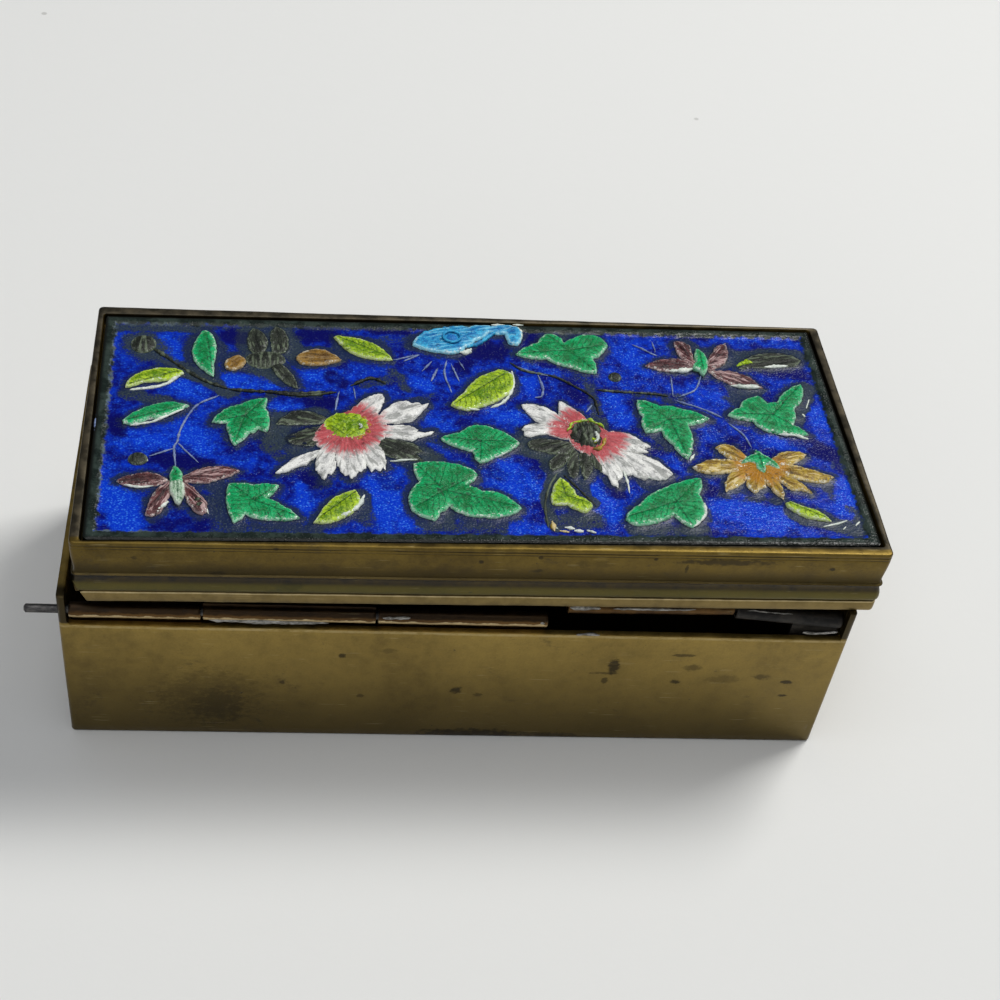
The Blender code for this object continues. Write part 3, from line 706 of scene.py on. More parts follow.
@dataclass(frozen=True)
class RoundedLoop:
    """The columns of points round a rounded rectangle, anticlockwise from the hinge side's left end."""

    length: float
    width: float
    corner: float
    spacing: float = 1.0
    corner_steps: int = 5
    extra: tuple[float, ...] = ()

    def columns(self) -> list[tuple[int, float, float]]:
        """Returns for each column its side, 0 to 3, or its corner, 4 to 7, its place and its angle.

        Returns:
            One row for each column.
        """
        found = []
        halves = (self.length / 2 - self.corner, self.width / 2 - self.corner)
        for side in range(4):
            half = halves[side % 2]
            count = max(2, round(2 * half / self.spacing))
            spots = list(np.linspace(-half, half, count + 1))
            if side == 0:
                spots = sorted(set(spots) | set(self.extra))
            sign = 1 if side in (0, 1) else -1
            found += [(side, sign * spot, 0.0) for spot in spots]
            start = (side - 1) * math.pi / 2
            for step in range(1, self.corner_steps):
                found.append((4 + side, 0.0, start + math.pi / 2 * step / self.corner_steps))
        return found

    def ring(self, inset: float, smallest: float = 0.05, turn: float = 0.0) -> np.ndarray:
        """Returns the ring's points at an inset.

        Args:
            inset: How far the ring lies inside the loop.
            smallest: The smallest corner radius that an inset ring keeps.
            turn: How far the ring is turned about the middle, in radians.

        Returns:
            One row of x and y for each column.
        """
        corner = max(self.corner - inset, smallest)
        half_x, half_y = self.length / 2 - inset, self.width / 2 - inset
        limits = (half_x - corner, half_y - corner)
        middles = ((1, -1), (1, 1), (-1, 1), (-1, -1))
        points = []
        for kind, spot, angle in self.columns():
            if kind < 4:
                spot = min(max(spot, -limits[kind % 2]), limits[kind % 2])
                points.append(((spot, -half_y), (half_x, spot), (spot, half_y), (-half_x, spot))[kind])
            else:
                sx, sy = middles[kind - 4]
                points.append(
                    (sx * limits[0] + corner * math.cos(angle), sy * limits[1] + corner * math.sin(angle))
                )
        ring = np.array(points)
        cos, sin = math.cos(turn), math.sin(turn)
        return ring @ np.array(((cos, sin), (-sin, cos)))


def merge_close(points: np.ndarray, faces: Iterable[Sequence[int]]) -> tuple[np.ndarray, list[list[int]]]:
    """Joins points that lie on each other and drops faces that have shrunk to nothing.

    Args:
        points: The points, one row each.
        faces: The faces, as rows of point numbers.

    Returns:
        The points and the faces that are left.
    """
    keys = np.round(points, 4)
    unique, index = np.unique(keys, axis=0, return_inverse=True)
    index = index.reshape(-1)
    kept = []
    for face in faces:
        corners = []
        for corner in face:
            number = int(index[corner])
            if not corners or corners[-1] != number:
                corners.append(number)
        if len(corners) > 1 and corners[0] == corners[-1]:
            corners.pop()
        if len(set(corners)) > 2:
            kept.append(corners)
    return unique, kept


def stack(solids: Sequence[tuple[np.ndarray, Sequence[Sequence[int]]]]) -> tuple[np.ndarray, list[list[int]]]:
    """Puts several closed forms together.

    Args:
        solids: The points and the faces of each.

    Returns:
        All points and all faces.
    """
    faces, count = [], 0
    for points, corners in solids:
        faces += [[corner + count for corner in face] for face in corners]
        count += len(points)
    return np.vstack([points for points, _ in solids]), faces


def sweep(
    path: np.ndarray, radii: np.ndarray, squash: tuple[float, float] = (1.0, 1.0), sides: int = 10
) -> tuple[np.ndarray, list[tuple[int, ...]]]:
    """Returns a closed round form along a path.

    Args:
        path: The path's points, one row of x, y and z each.
        radii: The radius at each point.
        squash: Factors on the radius across the path and upward.
        sides: Points round the form.

    Returns:
        The points and the faces.
    """
    along = np.gradient(path, axis=0)
    along /= np.linalg.norm(along, axis=1)[:, None] + 1e-12
    up = np.tile((0.0, 0.0, 1.0), (len(path), 1))
    across = np.cross(along, up)
    across /= np.linalg.norm(across, axis=1)[:, None] + 1e-12
    up = np.cross(across, along)
    rings = []
    for side in range(sides):
        angle = 2 * math.pi * side / sides
        offset = across * math.cos(angle) * squash[0] + up * math.sin(angle) * squash[1]
        rings.append(path + offset * radii[:, None])
    points = np.stack(rings, 1).reshape(-1, 3)
    return points, loop_faces(len(path), sides)


def smooth_path(points: Sequence[Sequence[float]], step: float = 0.2) -> np.ndarray:
    """Returns evenly spaced points on a smooth curve through the given points.

    Args:
        points: The points that the curve runs through.
        step: How far apart the new points are.

    Returns:
        The new points.
    """
    given = np.array(points, float)
    if len(given) == 2:
        count = max(3, round(np.linalg.norm(given[1] - given[0]) / step))
        return np.linspace(given[0], given[1], count)
    padded = np.vstack((2 * given[0] - given[1], given, 2 * given[-1] - given[-2]))
    pieces = []
    for a, b, c, d in zip(padded, padded[1:], padded[2:], padded[3:]):
        count = max(2, round(np.linalg.norm(c - b) / step))
        t = np.linspace(0, 1, count, endpoint=False)[:, None]
        pieces.append(
            0.5 * (2 * b + (c - a) * t + (2 * a - 5 * b + 4 * c - d) * t**2 + (3 * b - a - 3 * c + d) * t**3)
        )
    return np.vstack((*pieces, given[-1:]))


def line_distance(points: np.ndarray, starts: np.ndarray, ends: np.ndarray) -> tuple[np.ndarray, ...]:
    """Finds the nearest of many straight lines to each point.

    Args:
        points: The points, one row each.
        starts: Where the lines start.
        ends: Where they end.

    Returns:
        The distance to the nearest line, that line's number, and how far along it the nearest place
        is, 0 to 1.
    """
    best = np.full(len(points), np.inf)
    which = np.zeros(len(points), int)
    share = np.zeros(len(points))
    for number, (start, end) in enumerate(zip(starts, ends)):
        line = end - start
        t = np.clip(((points - start) @ line) / max(float(line @ line), 1e-12), 0.0, 1.0)
        gap = np.hypot(*(points - start - t[:, None] * line).T)
        nearer = gap < best
        best[nearer], which[nearer], share[nearer] = gap[nearer], number, t[nearer]
    return best, which, share


def inside(points: np.ndarray, outline: np.ndarray) -> np.ndarray:
    """Returns which points lie inside an outline.

    Args:
        points: The points, one row each.
        outline: The outline's points.

    Returns:
        One truth value for each point.
    """
    result = np.zeros(len(points), bool)
    x, y = points.T
    for (x0, y0), (x1, y1) in zip(outline, np.roll(outline, -1, axis=0)):
        if y0 == y1:
            continue
        crosses = (y0 > y) != (y1 > y)
        result ^= crosses & (x < (x1 - x0) * (y - y0) / (y1 - y0) + x0)
    return result


def outline_distance(points: np.ndarray, outline: np.ndarray, filled: bool = False) -> np.ndarray:
    """Returns each point's distance to a closed outline.

    Args:
        points: The points, one row each.
        outline: The outline's points.
        filled: Whether a point inside it counts as touching it.

    Returns:
        One distance for each point.
    """
    gap, _, _ = line_distance(points, outline, np.roll(outline, -1, axis=0))
    if filled:
        gap[inside(points, outline)] = 0.0
    return gap


# The picture's forms


class Glaze(Enum):
    """The enamels of the picture, each with its finish."""

    EMERALD = GlazeFinish(
        "emerald_glaze", (0.0, 0.13, 0.028), (0.005, 0.47, 0.155), (0.36, 0.7, 0.48), (0.0, 0.05, 0.014),
        chips=0.8,
    )
    LIME = GlazeFinish(
        "lime_glaze", (0.08, 0.19, 0.001), (0.5, 0.7, 0.022), (0.62, 0.74, 0.3), (0.03, 0.08, 0.001),
        veins=0.8, chips=0.7,
    )
    MAUVE = GlazeFinish(
        "mauve_glaze", (0.035, 0.007, 0.01), (0.19, 0.065, 0.068), (0.58, 0.4, 0.39), (0.012, 0.003, 0.005),
        rim_width=0.16, veins=0.0, streaks=0.75, lightness=0.15, chips=0.6,
    )
    BLUSH = GlazeFinish(
        "blush_glaze", (0.42, 0.42, 0.42), (0.82, 0.82, 0.79), (0.88, 0.88, 0.84), (0.12, 0.13, 0.12),
        rim_width=0.1, veins=0.0, streaks=0.6, throat=(0.33, 0.035, 0.045), throat_reach=4.6, lightness=0.45,
        chips=0.5,
    )
    GOLD = GlazeFinish(
        "gold_glaze", (0.2, 0.11, 0.005), (0.55, 0.39, 0.055), (0.78, 0.66, 0.38), (0.1, 0.04, 0.002),
        rim_width=0.18, veins=0.0, streaks=0.7, throat=(0.3, 0.13, 0.005), throat_reach=3.2, chips=0.8,
    )
    SKY = GlazeFinish(
        "sky_glaze", (0.0, 0.14, 0.4), (0.055, 0.5, 0.78), (0.34, 0.72, 0.86), (0.0, 0.05, 0.26),
        rim_width=0.4, veins=0.0, streaks=0.5, chips=0.6,
    )
    OCHRE = GlazeFinish(
        "ochre_glaze", (0.1, 0.045, 0.005), (0.36, 0.2, 0.03), (0.42, 0.3, 0.14), (0.03, 0.014, 0.003),
        veins=0.1, streaks=0.5, chips=0.5,
    )
    SOOT = GlazeFinish(
        "soot_metal", (0.006, 0.009, 0.007), (0.034, 0.042, 0.028), (0.16, 0.2, 0.13), (0.003, 0.004, 0.003),
        rim_width=0.12, veins=0.3, streaks=0.6, chips=0.2, roughness=0.38,
    )
    PALE = GlazeFinish(
        "pale_edge", (0.42, 0.5, 0.44), (0.85, 0.89, 0.82), (0.62, 0.72, 0.66), (0.3, 0.38, 0.34),
        veins=0.0, chips=0.3, roughness=0.3,
    )
    STEM = GlazeFinish(
        "stem_wire", (0.04, 0.07, 0.22), (0.28, 0.36, 0.56), (0.36, 0.44, 0.62), (0.04, 0.06, 0.14),
        veins=0.0, chips=0.3, roughness=0.35,
    )
    MINT = GlazeFinish(
        "mint_glaze", (0.05, 0.16, 0.07), (0.5, 0.68, 0.5), (0.72, 0.82, 0.7), (0.01, 0.07, 0.03),
        veins=0.5, streaks=0.5, chips=0.6,
    )


# Spacing of an outline's points, and how far out a corner counts as a leaf's tip
OUTLINE_STEP = 0.22
TIP_REACH = 2.6

# How high the middle and the edge of a form stand, by enamel
RISES = {
    Glaze.BLUSH: (0.42, 0.13), Glaze.GOLD: (0.5, 0.17), Glaze.MAUVE: (0.5, 0.2), Glaze.SOOT: (0.26, 0.09),
    Glaze.OCHRE: (0.42, 0.16),
}
HIGH_RISE = (0.6, 0.24)


@dataclass(frozen=True)
class Form:
    """One raised form of the picture: its outline, its veins, its enamel and how high it stands."""

    outline: np.ndarray
    veins: tuple[tuple[Point, Point], ...]
    glaze: Glaze
    heart: Point | None = None
    lift: float = 0.0
    crown: float = 0.6
    edge: float = 0.24
    groove: float = 0.05
    seed: float = 0.0


def rough_outline(flat: Sequence[float], bulge: float, seed: float, fray: float = 0.1) -> np.ndarray:
    """Returns a fine, slightly uneven outline through given corners.

    Args:
        flat: The corners in turn, as x and y one after the other.
        bulge: How far a side swells outward, as a share of its length.
        seed: Which noise frays it.
        fray: How far it is frayed.

    Returns:
        The outline's points.
    """
    given = np.array(flat, float).reshape(-1, 2)
    pieces = []
    for corner, following in zip(given, np.roll(given, -1, axis=0)):
        side = following - corner
        count = max(2, round(float(np.linalg.norm(side)) / OUTLINE_STEP))
        t = np.linspace(0.0, 1.0, count, endpoint=False)[:, None]
        pieces.append(corner + side * t + np.array((side[1], -side[0])) * 4 * bulge * t * (1 - t))
    outline = np.vstack(pieces)
    broad, fine = shake(outline, 1.6, seed, seed + 5), shake(outline, 3.7, seed + 2, seed + 7)
    return outline + fray * (broad + 0.7 * fine)


def lobed_form(middle: Point, corners: Sequence[float], glaze: Glaze, **more: float) -> Form:
    """Returns a form whose veins run from its middle to each corner that stands out.

    Args:
        middle: Where the veins meet.
        corners: Its corners, as x and y one after the other.
        glaze: Its enamel.
        **more: Other fields of the form.

    Returns:
        The form.
    """
    given = np.array(corners, float).reshape(-1, 2)
    far = np.linalg.norm(given - np.array(middle), axis=1)
    count = len(far)
    tips = [i for i in range(count) if far[i] > max(far[i - 1], TIP_REACH) and far[i] >= far[(i + 1) % count]]
    veins = tuple((middle, tuple(given[i])) for i in tips) or ((middle, tuple(given[0])),)
    return Form(rough_outline(corners, 0.08, more.get("seed", 0.0)), veins, glaze, **more)


def petal_form(heart: Point, corners: Sequence[float], glaze: Glaze, **more: float) -> Form:
    """Returns a petal, whose streaks run out from the flower's heart.

    Args:
        heart: The flower's middle.
        corners: Its corners, as x and y one after the other.
        glaze: Its enamel.
        **more: Other fields of the form.

    Returns:
        The form.
    """
    given = np.array(corners, float).reshape(-1, 2)
    tip = given[np.argmax(np.linalg.norm(given - np.array(heart), axis=1))]
    outline = rough_outline(corners, 0.03, more.get("seed", 0.0), 0.14)
    return Form(outline, ((heart, tuple(tip)),), glaze, heart=heart, **more)


# Leaves: the enamel, the ends of the middle vein, and the outline
LEAVES = (
    (Glaze.EMERALD, (-30.6, 8.5), (-31.6, 15.9), (-32.1, 16.2, -32.7, 14.7, -33.2, 12.6, -33.1, 11.6, -32.5,
        10.1, -31.5, 8.8, -30.5, 7.9, -30.6, 10.1, -30.3, 12.2, -30.4, 14.1, -30.8, 15.7, -31.6, 16.4)),
    (Glaze.LIME, (-34.5, 8.5), (-40.1, 6.1), (-35.3, 9.2, -36.8, 9.2, -38.4, 8.7, -39.7, 7.8, -40.4, 6.7,
        -40.6, 5.6, -38.4, 6.6, -35.1, 7.3, -34, 8.3, -34.2, 8.8)),
    (Glaze.EMERALD, (-33.4, 2.5), (-40.2, -0.3), (-35, 3.2, -36.9, 2.8, -38.5, 1.9, -39.9, 0.8, -40.6, -0.1,
        -40.4, -0.6, -39.4, -0.8, -37.9, 0, -36, 0.6, -33.1, 2.6)),
    (Glaze.LIME, (-9.6, 11.8), (-15.9, 15.6), (-15.1, 13.7, -13.9, 12.5, -12.3, 11.8, -10.8, 11.5, -9.3,
        11.6, -9.4, 12, -10.5, 13.6, -11.6, 14.7, -13.5, 15.5, -15.4, 15.9, -16.3, 15.8)),
    (Glaze.LIME, (4.5, 9.6), (-2.5, 3.6), (1.3, 9, 0.1, 7.9, -1.1, 6, -2.4, 4.4, -2.9, 3.5, -2.1, 3, -0.9,
        2.6, 0, 2.9, 3.1, 4.7, 4.4, 6, 5, 7.5, 5, 9.3, 3.8, 10.2)),
    (Glaze.LIME, (-14.5, -11.4), (-19, -16), (-17.9, -16.3, -16.4, -15.7, -15, -14.7, -14.1, -13.3, -14.1,
        -12, -14.6, -11, -16.9, -12.2, -18.6, -14.7, -19.2, -16.3)),
    (Glaze.SOOT, (33.7, 11.6), (41.1, 13.2), (34.9, 11.6, 39.3, 11.8, 40.9, 12.2, 41.6, 13.3, 40.6, 14.2,
        38.4, 14.6, 36.2, 14.4, 34.6, 13.4, 33.2, 11.3)),
    (Glaze.LIME, (34.2, -12.4), (38.4, -15), (34.1, -13.1, 35.9, -14.6, 37.1, -15, 38.7, -15.2, 38.1, -14.2,
        37.2, -13.4, 35.6, -12.8, 34.7, -12.1, 33.9, -12.2)),
)

# Lobed leaves: the middle, the enamel, then tips and notches in turn
LOBED = (
    ((-26.8, 0.7), Glaze.EMERALD, (-24.3, 4.2, -27.3, 3, -29.5, 1.6, -30.5, -0.2, -28.8, -0.2, -28.6, -1.9,
        -27.9, -4, -26.4, -2.1, -25.2, -1.2, -24.4, -1.7, -24, 0.5, -24.5, 2.5)),
    ((-25.7, -13.1), Glaze.EMERALD, (-22.9, -10.4, -25.6, -10.5, -28.5, -10.3, -27.8, -16.4, -26.6, -15,
        -24.5, -15.8, -20.8, -15.5, -22.3, -13.9, -24.3, -12.5)),
    ((0, -2.9), Glaze.EMERALD, (4.6, -2.9, 0.9, -0.1, -1, -0.2, -2.3, -1.4, -4.6, -2.3, -3, -3.6, -1, -4.4,
        -0.3, -6.4, 1.4, -5.5, 3.2, -4.3)),
    ((-4.7, -11.2), Glaze.EMERALD, (-0.7, -8.3, -2.8, -6.7, -7.9, -6.6, -7.4, -9.5, -8.7, -11.9, -8.5,
        -14.1, -6.1, -15.7, -5.4, -14.4, -4.3, -13.4, -3, -14.6, -0.7, -15.1, 1.8, -14.9, 3.7, -13.7, 1.4,
        -11.3, -0.5, -11, -2.1, -10)),
    ((12.3, 13.8), Glaze.EMERALD, (17.4, 15.2, 16.5, 16.8, 15.1, 17.2, 13.2, 16.5, 12, 15.5, 11.1, 17.1,
        9.8, 17.1, 8.6, 15.4, 5.7, 13.1, 9.5, 12.4, 12.2, 10.9, 15.3, 9.8, 15.2, 12.5)),
    ((35.6, 2.6), Glaze.EMERALD, (40.4, 8.5, 38.6, 7.5, 36.7, 5, 35.4, 4.8, 34.6, 6.1, 32.8, 5.4, 31.8, 3.9,
        30.1, 2.6, 33, 1.6, 34.6, -0.3, 39.3, -0.7, 37.8, 1, 38.6, 4, 40.3, 6.6)),
    ((22.8, 1.4), Glaze.EMERALD, (27.8, 1.9, 25, 3.4, 22, 4, 19.5, 5.1, 19.7, 2.1, 19.7, -0.7, 21.6, -0.3,
        22.6, -2.8, 23.9, -5.2, 24.9, -2.9, 25, 0.6)),
    ((21.2, -12.6), Glaze.EMERALD, (24.9, -8.4, 22.3, -9.2, 20.2, -10.2, 17.2, -12.7, 15.1, -15.1, 16.3,
        -16.2, 20.7, -14.5, 22.5, -16.4, 24.2, -14.7, 24.2, -11.1)),
    ((8.8, -11.7), Glaze.LIME, (8.6, -8.6, 7.4, -10.9, 7.2, -12.9, 8.9, -13, 10.9, -14.2, 11.8, -13.1, 10.2,
        -11.4)),
)

# The bird's outline
BIRD = (-6.8, 14.5, -5.6, 13.8, -3.5, 13.2, -1.5, 13.1, -0.3, 14.2, 1, 15.6, 2.8, 17.1, 4.8, 17, 5.2, 15.1,
    6.2, 14.9, 7, 17.5, 6.4, 18.5, 3.2, 18.5, 0.4, 18.3, -2.3, 17.9, -4.7, 17, -6.4, 15.7)

# Flowers: the name, the middle, the enamel, which petals are burnt dark, and the petals' outlines
FLOWERS = (
    ("mauve_flower_left", (-34.1, -9.4), Glaze.MAUVE, (), (
        (-39.5, -10.8, -37.7, -10.8, -36.1, -10.6, -35, -9.9, -35.3, -9.4, -36.4, -8.8, -37.3, -8.6, -39.9,
            -9.4, -40.6, -10),
        (-35, -9.9, -36.1, -11.1, -36.7, -12.4, -37.2, -15.2, -36.5, -15.5, -35.7, -14.9, -35, -13.3, -34.5,
            -10.2),
        (-33.5, -10.8, -32.7, -13.4, -32.1, -14.6, -31.2, -15.1, -30.6, -14.6, -30.8, -13.4, -31.7, -11.8,
            -33.7, -9.6),
        (-33.4, -10.1, -30.8, -10.1, -28, -8.9, -27.3, -8.1, -29.2, -7.4, -31.1, -7.7, -33.8, -9.4),
    )),
    ("blush_flower_left", (-15.2, -0.8), Glaze.BLUSH, (4, 9, 10), (
        (-16.4, 1.6, -17.6, 0.6, -19.3, -2.8, -18.4, -4.1, -17.1, -5, -15.3, -5.1, -13.3, -4.9, -11.7, -3.8,
            -10.9, -2.3, -10.5, -0.5, -10.9, 1, -12, 2.2, -13.4, 2.7),
        (-13.4, 0.5, -11.6, 1.7, -10.7, 4.2, -10.8, 5.2, -11.4, 5.4, -13, 4.5, -15.2, 1.5),
        (-12.2, -0.4, -10.3, 0.2, -8.7, 0.2, -7.7, 0.6, -5.9, 3, -5.5, 3.8, -6.4, 3.5, -6.7, 3.9, -7.5, 3.7,
            -8, 4.1, -9, 4, -9.9, 3.4, -11.4, 1.6, -12.6, 0.5),
        (-12.4, -1.7, -10.4, -2.3, -7.6, -2.7, -7.1, -2.2, -5.6, -1.7, -5.1, -0.9, -6.2, -1.3, -7.2, -1.1,
            -7, -0.8, -7.8, -0.2, -9, -0.1, -12.4, -0.3),
        (-12.4, -3.5, -11, -5.1, -9.1, -6.1, -7.5, -6, -6.6, -6.2, -7.6, -4.9, -6.8, -4.5, -7.3, -3.5, -8.5,
            -2.8, -12.4, -2.3),
        (-13.5, -5.3, -13.1, -7.1, -12.7, -8, -12.3, -7.6, -11.7, -7.9, -11.4, -7.2, -11, -7.7, -11.2, -4.5,
            -12.3, -2.8, -13.6, -3.1),
        (-16.6, -5.2, -16.5, -6.9, -15.7, -8.8, -15.2, -8.6, -14.9, -9.3, -14.1, -7.9, -13.8, -8.1, -13.1,
            -7, -13.5, -3.1, -14.9, -3.4, -16.2, -3.1),
        (-18.2, -4.2, -18.8, -6.2, -18.9, -7.6, -18, -9.4, -17.5, -8.4, -17.1, -8.6, -16.6, -7.1, -16.7,
            -5.4, -16.2, -3, -17.2, -2.7),
        (-17.5, -2, -18.3, -4.6, -19.4, -4.9, -21, -5.8, -21.9, -6.6, -23.3, -8.5, -22.2, -8.3, -21.3, -7.5,
            -20, -7, -18.9, -5.8, -16.8, -2.6),
        (-17.6, -0.2, -19.3, -0.6, -20.9, -1.4, -22.2, -2.6, -21.8, -3.5, -20.6, -3.9, -19.3, -4, -17.9,
            -3.2, -17.3, -1.6),
        (-17.4, 1, -19.2, 2.1, -21.2, 2.1, -22.4, 1.1, -23.3, -0.2, -19.4, -0.3, -17.8, 0),
    )),
    ("blush_flower_right", (12.8, -1.3), Glaze.BLUSH, (4, 5, 6, 7, 8), (
        (12.4, 1.3, 11, 0.9, 9.9, 0.2, 9.5, -1.1, 10.4, -2.1, 10.8, -3.5, 12.8, -5.3, 14.2, -5.1, 15.8,
            -4.4, 17, -3.4, 16.6, -1.8, 15.4, -0.8, 14.4, 0.4, 13.4, 1.2),
        (6.3, 1.8, 7, 0.9, 9.8, -0.3, 11, 0.1, 10.4, 1.3, 9.5, 2.5, 7.4, 3.9, 6.5, 4, 5.5, 3.9),
        (9.8, 3.1, 9.8, 1.8, 11.2, -0.1, 12.4, 0.2, 12.9, 1.5, 12.3, 2.6, 10.1, 4.7),
        (9.3, 0.1, 6.8, 0.6, 5.7, 0.3, 4.9, -0.5, 5.3, -0.8, 5.3, -1.6, 6, -1.8, 6.8, -1.4, 8, -1.3, 9.6,
            -2, 10.7, -2, 11, -0.5),
        (5.7, -3.6, 6.8, -4.2, 8.4, -4.6, 9.9, -4.7, 10.9, -3.5, 10.6, -2.5, 7.7, -2, 6.2, -2.2, 5.6, -2.8),
        (8.6, -4.7, 7.7, -6, 7.6, -6.9, 8, -7.5, 9.2, -6.6, 10.8, -3.7, 9.9, -4.5),
        (10, -5.1, 9.6, -6.7, 9.6, -8.1, 10.3, -8.7, 10.9, -7.9, 11.3, -4.3, 10.8, -3.7),
        (11.3, -4.7, 11.2, -7.2, 11.4, -8.9, 12.2, -8, 12.7, -6.6, 12.4, -4.7, 11.9, -3.7),
        (12.8, -6.9, 13.6, -7.6, 13.8, -7, 12.9, -4.5, 12.4, -3.9),
        (12.9, -4.7, 13.6, -6.5, 13.5, -7.5, 14.2, -8.3, 14.4, -9.4, 15.1, -10, 15.3, -8.9, 15.9, -8.2,
            15.8, -6.7, 13.9, -3.7),
        (14, -3.9, 16.5, -8.1, 17.1, -7.9, 18.4, -8.8, 18.9, -8.4, 19.8, -8.8, 20.8, -8.6, 21.8, -7.7, 20.5,
            -5.8, 18.4, -4.3, 16.5, -4.1, 14.9, -3),
        (14.6, -2.9, 16.2, -4, 17.7, -4.2, 19.5, -4.2, 19, -3.6, 19.9, -3.1, 19, -2.4, 18.4, -1.5, 16.5,
            -0.7, 15.8, -0.6, 15.1, -0.9, 14.6, -1.6),
    )),
    ("mauve_flower_right", (28.4, 11.2), Glaze.MAUVE, (), (
        (22.7, 10.9, 23.7, 10.6, 24.9, 10.5, 27.3, 10.9, 28, 11.2, 26.2, 12.9, 24.9, 13, 23.4, 12.7, 22.5,
            12.3, 21.5, 11.5),
        (25.9, 14.8, 26.1, 13.8, 26.6, 12.6, 27.5, 11.6, 28.1, 11.6, 27.8, 12.9, 27.8, 15.6, 26.9, 16.3,
            25.9, 16.2),
        (29.5, 10.8, 30.5, 11.3, 31.6, 12.2, 32.1, 13.2, 32.5, 14.7, 32.4, 16.1, 31.2, 15.5, 29.7, 12.9, 29,
            11.3),
        (30.2, 9.4, 32.4, 8, 34, 7.6, 35.5, 7.8, 34.6, 9.2, 33.7, 10.1, 32.4, 10.7, 30.9, 10.9, 29.2, 10.7),
    )),
    ("gold_flower", (32.2, -6.5), Glaze.GOLD, (), (
        (29.3, -6, 29.3, -7.2, 30.5, -8.4, 32.3, -8.9, 34.1, -8.7, 35.2, -7.6, 35.1, -6.2, 33.9, -5.2, 32,
            -4.7, 30.1, -5.2),
        (28.2, -4.3, 29.1, -5.1, 31.2, -6.1, 31.2, -5.1, 29.8, -2.9, 28.6, -2.5, 27.6, -3.2),
        (25, -7.3, 26.3, -7.7, 27.8, -7.6, 29.5, -6.9, 31.1, -6.5, 30, -5.6, 28.5, -5.2, 26.9, -5.2, 25.3,
            -5.9, 24.2, -6.6),
        (29.7, -6.8, 28.5, -7.4, 27.8, -8.7, 27.4, -10.1, 27.5, -10.5, 29.1, -9.6, 30.2, -8.5, 30.8, -7.5,
            31.1, -6.5),
        (30.7, -7.5, 30.2, -8.6, 30.1, -9.9, 30.8, -10.7, 31.4, -10.1, 32.3, -9.7, 32.4, -8.6, 31.5, -7.1),
        (32.9, -10.3, 33.8, -11.7, 34.2, -10.6, 34, -9.1, 33.3, -7.3, 32.1, -7.3),
        (35.3, -10.3, 36.3, -10.2, 37.6, -10.7, 36.9, -9.4, 36.1, -8.4, 34.7, -7.5, 33.1, -7.1),
        (33.3, -7.2, 34.9, -7.6, 37.5, -8.8, 39.4, -8.9, 40.7, -8, 37.5, -6.4, 35.7, -6, 33.2, -6.5),
        (33.3, -6.6, 36, -6, 37.2, -5.3, 38.3, -4.2, 37.6, -3.8, 35.7, -3.8, 34.3, -4.6, 33.1, -6),
    )),
)

# Forms that stand a little higher: calyxes, and the insect's wings and legs
HIGH_FORMS = (
    ("calyxes", Glaze.MINT, (-34, -10.2), (-34.8, -10.1, -34.4, -12.7, -33.8, -13.8, -33.3, -12.8, -33.2,
        -11.2, -33.5, -10, -34.2, -9.7)),
    ("calyxes", Glaze.EMERALD, (-34.2, -8.8), (-34.8, -10.4, -34.2, -10.9, -33.5, -10.4, -33.5, -9.5, -33.8,
        -8.3, -34.5, -7.8)),
    ("calyxes", Glaze.EMERALD, (28.6, 13.6), (27.9, 12, 27.3, 10.9, 28, 10.5, 28.5, 9.7, 29.3, 11.6, 29.4,
        13, 28.9, 14.1, 28.4, 14.7)),
    ("calyxes", Glaze.EMERALD, (32.3, -4.5), (31.9, -4.5, 31.1, -4.9, 30, -6.1, 31, -5.8, 31.8, -6, 31.7,
        -6.8, 32.4, -7.9, 32.8, -6.5, 33.3, -6.3, 34.5, -7, 33.9, -5.5, 32.8, -4.6, 32.3, -3.7)),
    ("insect", Glaze.OCHRE, (-20.9, 11.5), (-20.5, 10.7, -19.2, 10.3, -17.6, 10.4, -15.5, 11.4, -16.7, 12.6,
        -17.9, 13.3, -19.2, 13.1, -20.2, 12.6, -20.8, 11.8)),
    ("insect", Glaze.OCHRE, (-27.1, 11.1), (-29, 9.3, -28.1, 9.1, -27, 10, -26.8, 11.1, -27.5, 11.8, -28.7,
        11.3, -29.3, 10.2)),
    ("insect", Glaze.SOOT, (-22.9, 12.8), (-23.5, 12.4, -22.3, 12.6, -21.8, 13.8, -22.4, 17, -23.2, 17.5,
        -23.8, 16.5, -23.8, 14.5)),
    ("insect", Glaze.SOOT, (-25.2, 12.5), (-25.8, 12.1, -24.8, 12.5, -24.3, 13.7, -24.4, 15.3, -25.2, 16.7,
        -26.1, 17.1, -26.5, 15.7, -26.5, 13.7)),
    ("insect", Glaze.SOOT, (-23.1, 10.8), (-23.5, 9.2, -21.4, 6.4, -20.7, 6.1, -22.7, 10.6, -23.8, 10.6)),
)

